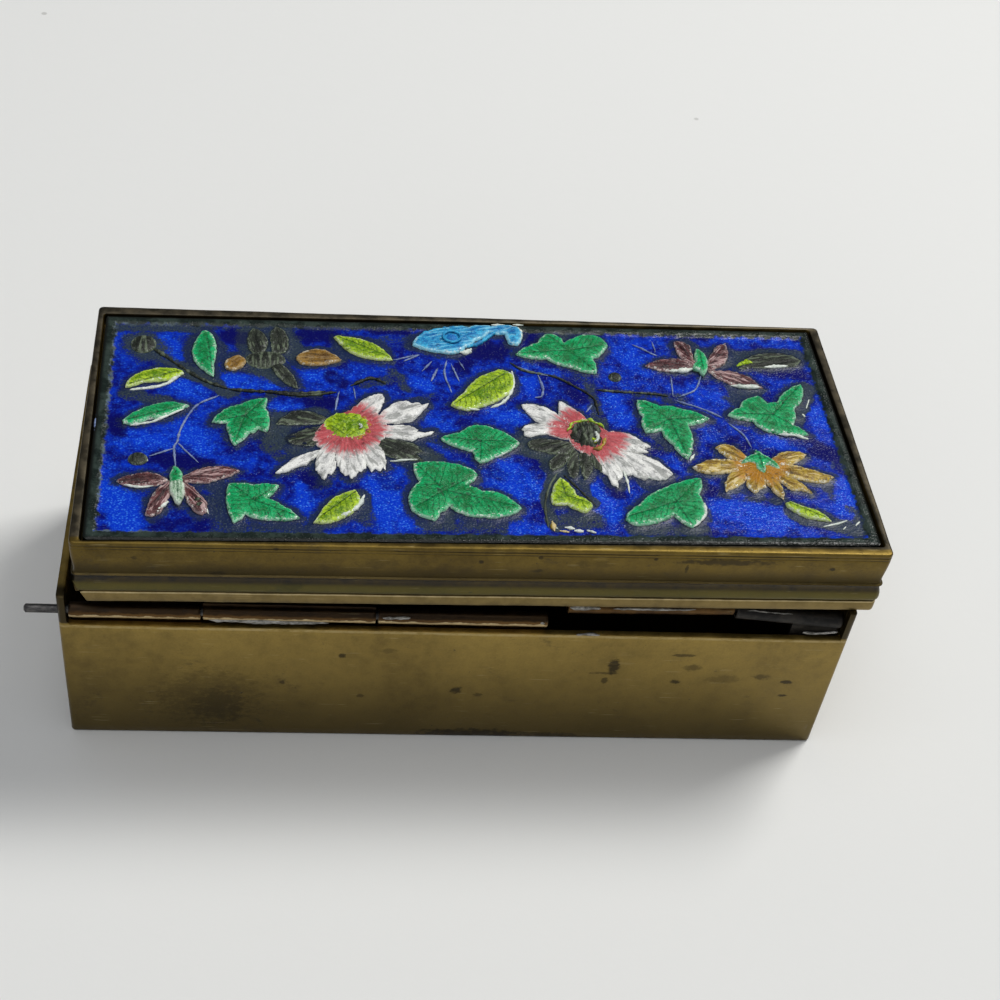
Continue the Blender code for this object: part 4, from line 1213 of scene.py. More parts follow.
# Thin raised lines: the piece, its enamel, then each line's width and points
RIDGES = (
    # The pale edges are raised white lines that paint the highlights on the forms' lit edges
    ("pale_edges", Glaze.PALE, (
        (0.34, 16, -7, 16.3, -8.9, 16.3, -10.8), (0.42, 5, 10.1, 4.8, 6.9, 3.4, 4.4, 1.8, 3.4),
        (0.5, 0.4, 2.9, -1.2, 2.8), (0.62, -13.6, -11.6, -14.5, -13.8, -16.9, -15.6),
        (0.5, -34.4, 7.9, -36.6, 6.2, -40, 5.4), (0.42, -33.8, 2, -36.6, 0.2, -39.6, -0.9),
        (0.5, 19.7, -0.6, 20.9, -0.2, 22.1, 0.3), (0.6, 36.5, 11.8, 39.6, 12.1),
        (0.5, -39.4, 14.1, -38.5, 12.9), (0.5, 6.9, -16.2, 7.4, -16.6), (0.6, 8.2, -16.4, 9.3, -16.6),
        (0.7, 9.2, -16.9, 10.2, -17), (0.5, 10.6, -16.8, 11.6, -17.2), (0.4, -37.7, -5.9, -37.4, -6.6),
        (0.3, 38.1, -15, 38.4, -14.6), (0.4, 41.4, -15.7, 42, -15), (0.3, 39.8, -16.3, 40.2, -15.8),
        (0.42, 24.6, -12.4, 24.3, -14.4, 22.7, -16.3), (0.5, 35.6, -0.7, 37.4, -0.8, 39.2, -1.2),
        (0.42, 24.2, -5.3, 24.9, -4.2), (0.6, 39.5, 3.2, 39.7, 2.7), (0.28, 40.9, 5.9, 40.2, 4.3),
        (0.3, 37.6, -15.9, 39, -15.5, 40.6, -14.9), (0.4, 4.2, -3.2, 2.7, -4.6, 1.5, -5.4),
        (0.4, -0.9, -8.4, -1.5, -9.3, -2.4, -9.8), (0.3, -39.7, -10.6, -38.3, -10.9, -36.6, -10.7),
        (0.55, -36.2, -14.9, -34.9, -13.2), (0.4, -30.9, -13.9, -30.5, -14.9),
        (0.75, 24.4, 10.6, 26, 10.7, 27.3, 10.9), (0.6, 31.6, 8.2, 33.2, 7.9, 35.2, 7.9),
        (0.3, 3.3, 19, 4.8, 19.1), (0.34, 6, 19.1, 7.3, 19.1), (0.6, -6.3, 14.6, -5.6, 14.2, -4.8, 14.5),
        (0.8, -1.1, 13.4, -0.2, 13.5, 0.4, 14.2), (0.5, 5.6, 15.4, 6.3, 15.6, 6.8, 16.9, 6.6, 18.4),
        (0.4, 3.6, 18.9, 5, 18.9), (0.3, -10.5, -6.1, -8.9, -6, -7.1, -5.8),
        (0.3, 17.5, -8.2, 19.1, -8.4, 20.8, -8.3), (0.35, 27.6, -9.9, 28.9, -9.1),
        (0.3, 31.1, -9.7, 32.1, -9.1),
    )),
    ("pale_stems", Glaze.STEM, (
        (0.3, -29.8, 4.7, -32.3, 2.9, -33.8, -0.5, -34.3, -3.3, -34.6, -4.5, -34.3, -7.6),
        (0.27, -34.6, -4.5, -37.3, -5.8), (0.19, -34.3, -3.5, -31.8, -6.8),
        (0.21, 5.6, 11.1, 7.6, 10, 9.8, 9.3), (0.34, 8.1, 9.5, 8.4, 7.2, 8.1, 5.6, 7.3, 5.4),
        (0.34, 14, 4.2, 13.1, 2.9), (0.24, 28.2, 9.8, 27, 7.3, 24.8, 6), (0.21, 24.5, 9.8, 24.1, 6),
        (0.29, 24.5, 5.2, 27.6, 3.7, 29.5, 2.3), (0.24, 30.1, 1.3, 31.4, -0.6, 32, -2.9),
        (0.26, 20.6, 15.8, 23.4, 13.6), (0.22, 23.2, 16.4, 23.3, 14.3), (0.26, -6, 12.9, -8, 11.6),
        (0.29, -4.6, 11.7, -5.9, 9.8), (0.32, -4, 10.4, -4.9, 8), (0.29, -2.8, 11.9, -3.2, 9.4, -2.6, 6),
        (0.24, -2.3, 11.3, -1.5, 8), (0.22, -1.3, 11.9, -0.7, 10.2),
        (0.24, -9.3, 11.7, -7.8, 12.3, -6.2, 12.9), (0.32, -15.9, 5.8, -16.2, 4.2, -16.4, 2.5),
        (0.19, -14.2, 6.7, -14, 4.6), (0.3, -43.4, 1.7, -43.5, -0.5, -43.3, -3.7),
    )),
    ("dark_stems", Glaze.SOOT, (
        (0.34, 4.9, 11.8, 6.5, 10.3, 10, 9.3, 12.4, 7.5, 14.3, 5.5, 14.6, 2.5),
        (0.5, -14.5, 6.9, -12.1, 8.3, -10.3, 7.4), (0.4, -23.4, 5.3, -19.8, 5, -16.2, 5.7),
        (1.2, -31.9, -12.6, -31.2, -14.5),
        (0.5, -17.5, 5.8, -20.4, 5.3, -23.7, 5.5, -26.4, 5.6, -28.7, 5.9),
        (0.45, -28.9, 6, -31.5, 7.3, -33.9, 9.3, -36.3, 11.7, -37.7, 13),
        (0.35, 14.9, 7, 17.7, 6.7, 21.1, 6.5, 23.5, 6.1),
        (0.3, 8.4, -7.7, 7.1, -10.3, 6.4, -13.3, 6.4, -16.4), (0.3, 9.1, -8, 10.7, -10.5, 12.2, -13.1),
    )),
    ("lime_chip", Glaze.LIME, (
        (0.9, 33.1, 12, 34.6, 12.7, 35.3, 12.4),
    )),
    ("bird_feathers", Glaze.SKY, (
        (0.7, 4.8, 18.2, 3.2, 17, 1.6, 15.5, -0.1, 14.3),
        (0.6, -6.1, 15.7, -4.7, 17, -2.4, 17.8, 0.4, 18.1), (0.45, -5.6, 15.3, -4.4, 15.3, -3.6, 16.2),
        (0.5, 0.8, 17.6, 2.2, 17.9, 4.2, 17.9),
    )),
    ("gold_chips", Glaze.GOLD, (
        (0.6, 6.9, -15.4, 7, -17), (0.5, 7.6, -16.9, 8.6, -17.1),
    )),
)

# Stains of the ground: both ends, the radius and the strength of each
WORN = (
    (-38.9, 13.9, -37.8, 12.8, 2.6, 0.9), (-37.5, 12.3, -28.6, 5.2, 1.1, 0.95),
    (-33.8, 15, -32.4, 9.5, 1.2, 0.45), (-40.5, 4.6, -35.8, 3.7, 1.0, 0.8), (-26.3, 16, -24.2, 9, 2.4, 0.9),
    (-22.8, 16.5, -21, 13, 1.8, 0.9), (-30, 13.5, -28.8, 12, 1.2, 0.5), (-23.6, -3.4, -22.8, 0.7, 1.7, 0.95),
    (-24.8, -3.9, -23, -5.4, 0.9, 0.8), (-21, 0.9, -18.2, 1.9, 1.2, 0.9), (-21, -4.6, -18, -6.2, 1.3, 0.8),
    (-18, 4.7, -24, 5.3, 0.5, 0.75), (-10.6, -3, -6.4, -5.6, 1.9, 1.0), (-13.2, 7.2, -8.2, 8.6, 0.9, 0.7),
    (-9.4, 9.8, -7.9, 6.7, 0.8, 0.75), (-16.8, 12.6, -8, 15.6, 1.9, 0.45), (-6.8, 4.4, -4.8, 5.4, 0.9, 0.5),
    (-13.8, -11.8, -13.2, -15.8, 1.1, 0.7), (-20.6, -12, -18, -10.4, 0.9, 0.45),
    (-8, -16.4, 1.2, -16.8, 1.0, 0.7), (-4.6, -14.6, -4.2, -16.2, 0.9, 0.85), (6.4, -3, 9.8, -6.4, 2.4, 1.0),
    (8.4, -7.4, 6.7, -11.4, 0.9, 1.0), (6.6, -11.4, 6.9, -16.6, 0.7, 0.95),
    (8.4, -15.6, 12.2, -15.4, 1.3, 0.85), (11, -9.4, 12.4, -12.6, 0.6, 0.8),
    (14.2, 7.8, 14.7, 0.6, 0.9, 0.75), (7, 10.9, 14, 8.2, 0.7, 0.6), (12, 16.9, 12.4, 17.6, 0.9, 0.75),
    (13.6, 17.8, 16.8, 18, 0.6, 0.4), (14.2, -8.8, 15.6, -9.6, 0.7, 0.5), (18.4, -9.4, 21, -8.8, 0.8, 0.5),
    (16, -16.9, 24, -16.9, 0.9, 0.8), (14.6, 7.3, 22, 6.4, 0.6, 0.6), (21, -1.9, 21.4, -3.3, 0.9, 0.6),
    (31.6, 6.2, 34, 7.4, 1.3, 0.7), (38.8, 2.8, 41.2, 8, 1.3, 0.85), (30, 14, 32.2, 13, 1.2, 0.8),
    (34.2, 13.9, 41, 14.3, 1.5, 0.8), (27.4, 16.6, 29.2, 15, 1.0, 0.6), (23, 6.2, 25.2, 5.6, 0.9, 0.7),
    (34.8, -14, 41.2, -16.3, 1.2, 0.9), (26.4, -11.6, 33, -11.9, 0.6, 0.6), (41.7, -5.9, 42, -5.9, 1.0, 0.7),
    (39.8, -9.9, 40, -11, 0.9, 0.5), (41.4, -13, 42.2, -16.4, 0.8, 0.8), (-41.8, 16.9, -33, 17, 0.8, 0.85),
    (-33, 17.2, -8, 17.9, 0.6, 0.6), (18.2, 18.6, 30, 18.2, 0.5, 0.4), (-29.8, -11, -29.5, -17.2, 0.9, 0.6),
    (-28, -17.3, -19, -17.1, 0.8, 0.6),
)

# Where the blue is brightest, in the same way
BRIGHT = (
    (-34.4, 6.6, -32.6, 5.4, 1.2, 0.9), (-36.4, 14.6, -35.4, 11.4, 1.2, 0.6),
    (-40, -2.6, -36.6, -3.6, 1.5, 0.55), (-33, -2, -31.6, -4.4, 1.2, 0.85),
    (-40.6, -11.8, -38.8, -16.6, 1.7, 1.0), (-29.4, -7, -26, -6, 1.0, 0.4), (-28.6, 7.4, -24, 6.8, 1.3, 0.9),
    (-23.9, 2.6, -21, 2.2, 1.1, 0.7), (-18.8, 8.8, -13.4, 9.2, 1.2, 0.5), (-20.4, -10.6, -20, -13, 0.9, 0.8),
    (-11.6, -9.2, -11, -15.6, 1.7, 0.75), (-9.6, -16.2, -7.6, -16.2, 0.8, 0.7),
    (-6.6, 8.2, -5.2, 6.9, 0.9, 0.7), (-5, 1.4, -3.2, 0, 1.0, 0.6), (2, 2.4, 5, 1.8, 1.2, 0.8),
    (2.2, -7.2, 4.8, -10.6, 1.9, 0.75), (6.7, 8.8, 7, 7, 0.8, 0.8), (6.8, 11.2, 10.6, 9.9, 0.6, 0.7),
    (10, 8, 11.6, 7, 0.8, 0.45), (16.8, 4.8, 17, 2, 1.5, 0.9), (19, 15.6, 21.4, 11, 1.8, 0.5),
    (12.8, -11.2, 13.6, -14, 1.5, 0.9), (2.6, -16.8, 5.8, -16.4, 0.7, 0.6), (21.8, -5, 22.4, -6.2, 0.8, 0.6),
    (26.6, 7.2, 29.6, 6, 1.2, 0.5), (34.4, -1.8, 38.4, -2.4, 1.1, 0.85), (41.2, 3.6, 41.6, 1.6, 1.0, 0.9),
    (27.2, -13, 32.6, -14.8, 1.9, 1.0), (41.4, -8.8, 40.8, -13.4, 1.0, 0.85), (27, 0.4, 28.6, -1.4, 1.0, 0.5),
    (32, 17.4, 41, 16.8, 0.9, 0.35), (15.6, 10.6, 19.4, 8.2, 1.1, 0.35),
)

# Where the blue is darkest, in the same way: deep blue enamel, and painted shadow in some patches, such as
# left of the tip of the emerald leaf near the left end
DEEP_AND_SHADOW = (
    (-28.8, 15.9, -27, 15.4, 1.1, 1.0), (-19.6, 16.2, -16.8, 16.3, 1.1, 1.0),
    (-36.2, -6, -31, -7.2, 1.1, 0.9), (-35.8, -16.8, -31, -16.6, 1.0, 0.6), (-41.4, 0, -40.8, -2, 0.9, 1.0),
    (-19.2, 4.3, -17.2, 3.7, 1.1, 1.0), (-16.6, 8.6, -15.6, 7.6, 1.0, 0.8),
    (-19.8, -8.6, -19.2, -10, 0.8, 0.8), (-11.4, -8.8, -10.4, -10.2, 0.9, 0.6), (1, 14, 3.6, 13.8, 1.4, 1.0),
    (2.2, 15, 2.8, 14.6, 0.9, 1.0), (-1.4, 9.6, -0.4, 12, 1.1, 0.7), (7.9, 18.4, 8.4, 15.4, 0.8, 0.8),
    (11.4, 7.6, 12.6, 5.6, 1.0, 0.7), (0.6, -6.6, 1.8, -8.2, 0.9, 0.5), (14, -10.4, 15.4, -11, 0.8, 0.7),
    (37.6, -1.2, 41.4, -3.8, 1.3, 0.8), (37, 11.2, 41.4, 10.6, 1.0, 0.5), (28.2, 0, 30.6, -2.4, 1.2, 0.5),
    (25.2, -9.6, 26.4, -11, 0.8, 0.6), (26, 18.2, 30, 17.6, 0.7, 0.7), (-12, 17.6, -7.6, 17.3, 0.6, 0.8),
    (-0.4, -17.6, 0.6, -17.5, 0.5, 0.3),
)


def patches(points: np.ndarray, table: Sequence[Sequence[float]]) -> np.ndarray:
    """Returns how strongly soft-edged patches cover each point, 0 to 1.

    Args:
        points: The points, one row each.
        table: Both ends, the radius and the strength of each patch.

    Returns:
        One number for each point.
    """
    cover = np.zeros(len(points))
    wander = points + 0.45 * shake(points, 0.8, 2.0, 4.0)
    for x0, y0, x1, y1, radius, strength in table:
        start, end = (x0, y0), (x1, y1)
        low = np.minimum(start, end) - 2 * radius
        high = np.maximum(start, end) + 2 * radius
        picked = np.all((wander > low) & (wander < high), axis=1)
        gap, _, _ = line_distance(wander[picked], np.array([start]), np.array([end]))
        cover[picked] = np.maximum(cover[picked], soft(1.5 - gap / radius) * strength)
    return cover


@dataclass
class EnamelPicture:
    """The enamel panel: its blue ground, its border and every raised form on it."""

    length: float = 87.2
    width: float = 37.8
    corner: float = 0.6
    top: float = 8.95
    border_height: float = 0.3
    border_width: float = 1.2
    thickness: float = 1.1
    step: float = 0.22
    grain: float = 0.17
    root: float = 0.2
    far: float = 3.0
    forms: list[tuple[str, Form]] = field(default_factory=list)

    @property
    def ground(self) -> float:
        """Returns the height of the ground in the lid's axes."""
        return self.top - self.border_height

    def build(self) -> list[bpy.types.Object]:
        """Builds every piece of the picture.

        Returns:
            The pieces.
        """
        self.gather()
        finishes = {glaze: glaze.value.make() for glaze in Glaze}
        made = [self.make_ground()]
        made += [self.make_forms(name, finishes) for name in sorted({name for name, _ in self.forms})]
        made += [self.make_ridges(name, lines, finishes[glaze]) for name, glaze, lines in RIDGES]
        made += self.make_domes(finishes) + self.make_heart_trim(finishes) + self.make_eye(finishes)
        return [carry(piece, "lid", "blue_enamel", "enamel_panel") for piece in made]

    def gather(self) -> None:
        """Lists every raised form under the name of the piece it belongs to."""

        def add(
            name: str, maker: Callable[..., Form], glaze: Glaze, seed: float, *more: Any, **extra: float
        ) -> None:
            """Keeps one form, as high as its enamel stands."""
            crown, edge = RISES.get(glaze, HIGH_RISE)
            self.forms.append((name, maker(*more, glaze, crown=crown, edge=edge, seed=seed, **extra)))

        for number, (glaze, base, tip, corners) in enumerate(LEAVES):
            name = {Glaze.EMERALD: "emerald_leaves", Glaze.LIME: "lime_leaves"}.get(glaze, "worn_leaf")
            outline = rough_outline(corners, 0.03, number + 0.5)
            add(name, Form, glaze, number + 0.5, outline, ((base, tip),))
        for number, (middle, glaze, corners) in enumerate(LOBED):
            name = "emerald_lobed_leaves" if glaze is Glaze.EMERALD else "lime_leaves"
            add(name, lobed_form, glaze, number + 20.5, middle, corners)
        add("bird", lobed_form, Glaze.SKY, 40.0, (-1.8, 15.7), BIRD, groove=0.0)
        for flower, middle, enamel, burnt, petals in FLOWERS:
            for number, corners in enumerate(petals):
                glaze = Glaze.SOOT if number in burnt else enamel
                add(flower, petal_form, glaze, number + 50.5, middle, corners, lift=0.05 * (number % 3))
        for number, (name, glaze, middle, corners) in enumerate(HIGH_FORMS):
            lift = 0.25 if name == "calyxes" else 0.1
            add(name, lobed_form, glaze, number + 70.5, middle, corners, lift=lift)

    def make_ground(self) -> bpy.types.Object:
        """Builds the blue ground with its raised border.

        Returns:
            The piece.
        """
        columns = round(self.length / self.step)
        rows = round(self.width / self.step)
        xs = np.linspace(-self.length / 2, self.length / 2, columns + 1)
        ys = np.linspace(-self.width / 2, self.width / 2, rows + 1)
        grid = np.stack(np.meshgrid(xs, ys), -1).reshape(-1, 2)
        flat = self.round_corners(grid)
        edge = np.minimum(self.length / 2 - np.abs(flat[:, 0]), self.width / 2 - np.abs(flat[:, 1]))
        near = self.form_distances(flat)
        height = self.ground + self.ground_relief(flat, edge, near)
        top = np.column_stack((flat, height))
        index = np.arange(len(grid)).reshape(rows + 1, columns + 1)
        faces = np.stack((index[:-1, :-1], index[:-1, 1:], index[1:, 1:], index[1:, :-1]), -1).reshape(-1, 4)
        around = np.concatenate((index[0, :-1], index[:-1, -1], index[-1, :0:-1], index[:0:-1, 0]))
        under = np.column_stack((flat[around], np.full(len(around), self.top - self.thickness)))
        count = len(top)
        skirt = [
            (int(around[i]), count + i, count + (i + 1) % len(around), int(around[(i + 1) % len(around)]))
            for i in range(len(around))
        ]
        bottom = [tuple(count + i for i in range(len(around) - 1, -1, -1))]
        points = np.vstack((top, under))
        marks = {
            "near": near,
            "rim": np.minimum(near, 1.0),
            "edge": edge,
            "worn": patches(flat, WORN),
            "bright": patches(flat, BRIGHT),
            "deep": patches(flat, DEEP_AND_SHADOW),
        }
        for key, values in marks.items():
            marks[key] = np.append(values, np.full(len(around), self.far if key == "near" else 0.0))
        finish = GroundFinish().make()
        faces = [*faces.tolist(), *skirt, *bottom]
        return make_piece("blue_ground", points, faces, PANEL_PLACE, (finish,), marks, 50.0)

    def round_corners(self, grid: np.ndarray) -> np.ndarray:
        """Returns the grid with its corners drawn in to a small radius.

        Args:
            grid: The points, one row of x and y each.

        Returns:
            The moved points.
        """
        limit = np.array((self.length / 2 - self.corner, self.width / 2 - self.corner))
        over = np.abs(grid) - limit
        both = np.all(over > 0, axis=1)
        reach = np.linalg.norm(over[both], axis=1)
        square = np.max(over[both], axis=1)
        over[both] *= (square / np.maximum(reach, 1e-9))[:, None]
        result = grid.copy()
        result[both] = np.sign(grid[both]) * (limit + over[both])
        return result

    def form_distances(self, flat: np.ndarray) -> np.ndarray:
        """Finds each ground point's distance to the nearest form.

        Args:
            flat: The points, one row of x and y each.

        Returns:
            One number for each point.
        """
        near = np.full(len(flat), self.far)
        for _, form in self.forms:
            low, high = form.outline.min(0) - 2.0, form.outline.max(0) + 2.0
            picked = np.nonzero(np.all((flat > low) & (flat < high), axis=1))[0]
            gap = outline_distance(flat[picked], form.outline[::2], filled=True)
            near[picked] = np.minimum(near[picked], gap)
        return near

    def ground_relief(self, flat: np.ndarray, edge: np.ndarray, near: np.ndarray) -> np.ndarray:
        """Returns the height of the ground over its lowest level, with the border and soft feet of the forms.

        Args:
            flat: The points, one row of x and y each.
            edge: Their distances to the panel's edge.
            near: Their distances to the nearest form.

        Returns:
            One number for each point.
        """
        wave = 0.045 * ripple(flat, 0.35, 1.0) + 0.02 * ripple(flat, 1.4, 3.0)
        foot = 0.16 * np.exp(-near / 0.45)
        wobble = 0.3 * ripple(flat, 0.6, 6.0) + 0.14 * ripple(flat, 1.9, 7.0)
        crest = soft((self.border_width + 0.25 + wobble - edge) / 0.5)
        lip = np.clip(edge / 0.22, 0.0, 1.0)
        bead = (self.border_height - 0.05 + 0.03 * ripple(flat, 0.9, 8.0)) * crest
        return wave * (1 - crest) + foot * (1 - crest) + bead - 0.14 * (1 - lip) ** 2

    def form_mesh(self, form: Form) -> tuple[np.ndarray, list[list[int]], dict[str, np.ndarray]]:
        """Builds the swelling surface of one form, with upright sides that go into the ground.

        Args:
            form: The form.

        Returns:
            The points, the faces and the marks.
        """
        outline = form.outline
        low, high = outline.min(0), outline.max(0)
        across = np.arange(low[0], high[0], self.grain)
        upward = np.arange(low[1], high[1], self.grain * 0.866)
        grid = np.stack(np.meshgrid(across, upward), -1)
        grid[1::2, :, 0] += self.grain / 2
        grid = grid.reshape(-1, 2)
        grid = grid[inside(grid, outline) & (outline_distance(grid, outline) > self.grain * 0.45)]
        flat = np.vstack((outline, grid))
        count = len(outline)
        ring = [(i, (i + 1) % count) for i in range(count)]
        found = delaunay_2d_cdt([Vector(p) for p in flat.tolist()], ring, [], 1, 1e-7)
        flat = np.array([tuple(p) for p in found[0]])
        triangles = [list(face) for face in found[2]]
        rim = outline_distance(flat, outline)
        rim[rim < 1e-5] = 0.0
        starts = np.array([vein[0] for vein in form.veins])
        ends = np.array([vein[1] for vein in form.veins])
        side, which, share = line_distance(flat, starts, ends)
        lengths = np.linalg.norm(ends - starts, axis=1)
        along = share * lengths[which]
        if form.heart:
            spoke = flat - np.array(form.heart)
            lean = np.array(form.veins[0][1]) - np.array(form.heart)
            turn = np.arctan2(spoke @ (-lean[1], lean[0]), spoke @ lean)
            along, side = np.hypot(*spoke.T), 8.0 + 4.0 * turn
        widest = max(float(rim.max()), 0.2)
        dome = np.sqrt(1 - (1 - np.clip(rim / min(widest, 1.1), 0, 1)) ** 2)
        height = form.edge + (form.crown - form.edge) * dome
        height += 0.06 * np.exp(-(((rim - 0.1) / 0.1) ** 2)) * (0.6 + ripple(flat, 1.5, form.seed + 2))
        height -= form.groove * np.exp(-((side / 0.2) ** 2)) * np.clip(rim / 0.6, 0, 1)
        height += 0.06 * ripple(flat, 0.9, form.seed) * np.clip(rim / 0.3, 0, 1)
        if form.heart:
            height += 0.05 * np.sin(side * 6.5 + form.seed) * np.clip(rim / 0.4, 0, 1)
            height += 0.05 * ripple(flat, 2.2, form.seed + 3) * np.clip(rim / 0.3, 0, 1)
        top = np.column_stack((flat, self.ground + form.lift + height))
        edges: dict[tuple[int, int], int] = {}
        for face in triangles:
            for a, b in zip(face, face[1:] + face[:1]):
                edges[(a, b)] = edges.get((a, b), 0) + 1
        outer = {a: b for a, b in edges if (b, a) not in edges}
        start = next(iter(outer))
        chain = [start]
        while outer[chain[-1]] != start and len(chain) <= len(outer):
            chain.append(outer[chain[-1]])
        total = len(top)
        rooted = np.column_stack((flat[chain], np.full(len(chain), self.ground - self.root)))
        faces = list(triangles)
        for i in range(len(chain)):
            j = (i + 1) % len(chain)
            faces.append([chain[j], chain[i], total + i, total + j])
        faces.append([total + i for i in range(len(chain) - 1, -1, -1)])
        points = np.vstack((top, rooted))
        extra = np.zeros(len(chain))
        marks = {
            "rim": np.concatenate((rim, extra - 0.8)),
            "side": np.concatenate((side, side[chain])),
            "along": np.concatenate((along, along[chain])),
            "seed": np.full(len(points), form.seed),
        }
        return points, faces, marks

    def make_forms(self, name: str, finishes: dict[Glaze, bpy.types.Material]) -> bpy.types.Object:
        """Builds one piece from every form that goes by its name.

        Args:
            name: The piece's name.
            finishes: The materials, by enamel.

        Returns:
            The piece.
        """
        forms = [form for key, form in self.forms if key == name]
        glazes = sorted({form.glaze for form in forms}, key=lambda glaze: glaze.name)
        made = [self.form_mesh(form) for form in forms]
        marks = {key: np.concatenate([values[key] for _, _, values in made]) for key in made[0][2]}
        points, faces = stack([(points, corners) for points, corners, _ in made])
        materials = [finishes[glaze] for glaze in glazes]
        piece = make_piece(name, points, faces, PANEL_PLACE, materials, marks, 55.0)
        slots = [glazes.index(form.glaze) for form, (_, corners, _) in zip(forms, made) for _ in corners]
        piece.data.polygons.foreach_set("material_index", slots)
        return piece

    def make_ridges(
        self, name: str, lines: Sequence[Sequence[float]], material: bpy.types.Material
    ) -> bpy.types.Object:
        """Builds the thin raised lines of one piece.

        Args:
            name: The piece's name.
            lines: The width and the points of each line.
            material: Their material.

        Returns:
            The piece.
        """
        solids = []
        for number, (width, *path) in enumerate(lines):
            flat = smooth_path(np.reshape(path, (-1, 2)), 0.16)
            flat = flat + 0.05 * shake(flat, 1.1, number, number + 9)
            share = np.linspace(0, 1, len(flat))
            taper = np.clip(np.minimum(share, 1 - share) * len(flat) / 5, 0.12, 1) ** 0.5
            waver = 0.9 + 0.6 * ripple(flat, 2.1, number + 3) + 0.3 * ripple(flat, 4.5, number)
            radius = width / 2 * taper * np.clip(waver, 0.2, 2.0)
            spine = np.column_stack((flat, self.ground + self.over_forms(flat)))
            solids.append(sweep(spine, radius, (1.0, 0.8), 8))
        points, faces = stack(solids)
        return self.small_piece(name, points, faces, self.even_marks(points, 0.5), material)

    @staticmethod
    def even_marks(points: np.ndarray, value: float) -> dict[str, np.ndarray]:
        """Returns the marks of a thin piece, which run along x."""
        marks = {key: np.full(len(points), value) for key in ("rim", "side", "seed")}
        return marks | {"along": points[:, 0].copy()}

    @staticmethod
    def small_piece(
        name: str,
        points: np.ndarray,
        faces: Sequence[Sequence[int]],
        marks: dict[str, np.ndarray],
        material: bpy.types.Material,
    ) -> bpy.types.Object:
        """Makes one small piece in the panel's axes."""
        return make_piece(name, points, faces, PANEL_PLACE, (material,), marks, 60.0)

    def over_forms(self, flat: np.ndarray) -> np.ndarray:
        """Returns how high a thin line rises where it runs over a form's edge.

        Args:
            flat: The points, one row of x and y each.

        Returns:
            One number for each point.
        """
        lift = np.full(len(flat), 0.07)
        for _, form in self.forms:
            gap = outline_distance(flat, form.outline[::2], filled=True)
            lift = np.maximum(lift, (form.edge + form.lift + 0.04) * np.clip(1 - gap / 0.35, 0, 1))
        return np.convolve(np.pad(lift, 2, mode="edge"), np.ones(5) / 5, mode="valid")

    def dome_mesh(
        self,
        middle: Point,
        radius: Point,
        height: float,
        lumps: float,
        seed: float,
        rings: int = 22,
        sides: int = 56,
    ) -> tuple[np.ndarray, list[tuple[int, ...]], dict[str, np.ndarray]]:
        """Builds a low dome with a lumpy surface.

        Args:
            middle: Its middle.
            radius: Its radius along x and y.
            height: Its height over the ground.
            lumps: The height of its lumps.
            seed: Which noise shapes it.
            rings: Rings from its foot to its top.
            sides: Points round it.

        Returns:
            The points, the faces and the marks.
        """
        rows = []
        for ring in range(rings):
            lean = math.pi / 2 * ring / (rings - 0.6)
            angle = np.linspace(0, 2 * math.pi, sides, endpoint=False)
            out = math.cos(lean)
            x = middle[0] + radius[0] * out * np.cos(angle)
            y = middle[1] + radius[1] * out * np.sin(angle)
            z = np.full(sides, self.ground + height * math.sin(lean))
            rows.append(np.column_stack((x, y, z)))
        foot = rows[0].copy()
        foot[:, 2] = self.ground - self.root
        points = np.vstack((foot, *rows))
        bumps = ripple(points[:, :2], 1.6, seed) + 0.5 * ripple(points[:, :2], 3.4, seed + 1)
        points[sides:, 2] += lumps * bumps[sides:]
        faces = loop_faces(rings + 1, sides)
        out = np.hypot((points[:, 0] - middle[0]) / radius[0], (points[:, 1] - middle[1]) / radius[1])
        marks = {
            "rim": (1 - out) * min(radius),
            "side": np.abs(points[:, 0] - middle[0]) + 0.4,
            "along": points[:, 1] - middle[1] + 5,
            "seed": np.full(len(points), seed),
        }
        return points, faces, marks

    def make_domes(self, finishes: dict[Glaze, bpy.types.Material]) -> list[bpy.types.Object]:
        """Builds the flowers' hearts, the buds, the insect's body and the bird's eye.

        Args:
            finishes: The materials, by enamel.

        Returns:
            The pieces.
        """
        table = (
            ("heart_left", (-15.2, -0.5), (2.75, 2.35), 0.95, 0.28, Glaze.LIME),
            ("heart_right", (12.6, -1.3), (2.1, 2.5), 0.95, 0.32, Glaze.SOOT),
            ("insect_body", (-24.5, 11.3), (2.4, 1.6), 0.5, 0.12, Glaze.SOOT),
            ("bud_top_left", (-38.9, 13.8), (1.5, 1.6), 0.55, 0.12, Glaze.SOOT),
            ("bud_left", (-38.5, -6.3), (1.1, 1.0), 0.55, 0.05, Glaze.SOOT),
            ("bud_right", (17.5, 9.4), (0.8, 0.8), 0.5, 0.06, Glaze.SOOT),
        )
        made = []
        for number, (name, middle, radius, height, lumps, glaze) in enumerate(table):
            dome = self.dome_mesh(middle, radius, height, lumps, number + 90.5)
            made.append(self.small_piece(name, *dome, finishes[glaze]))
        return made

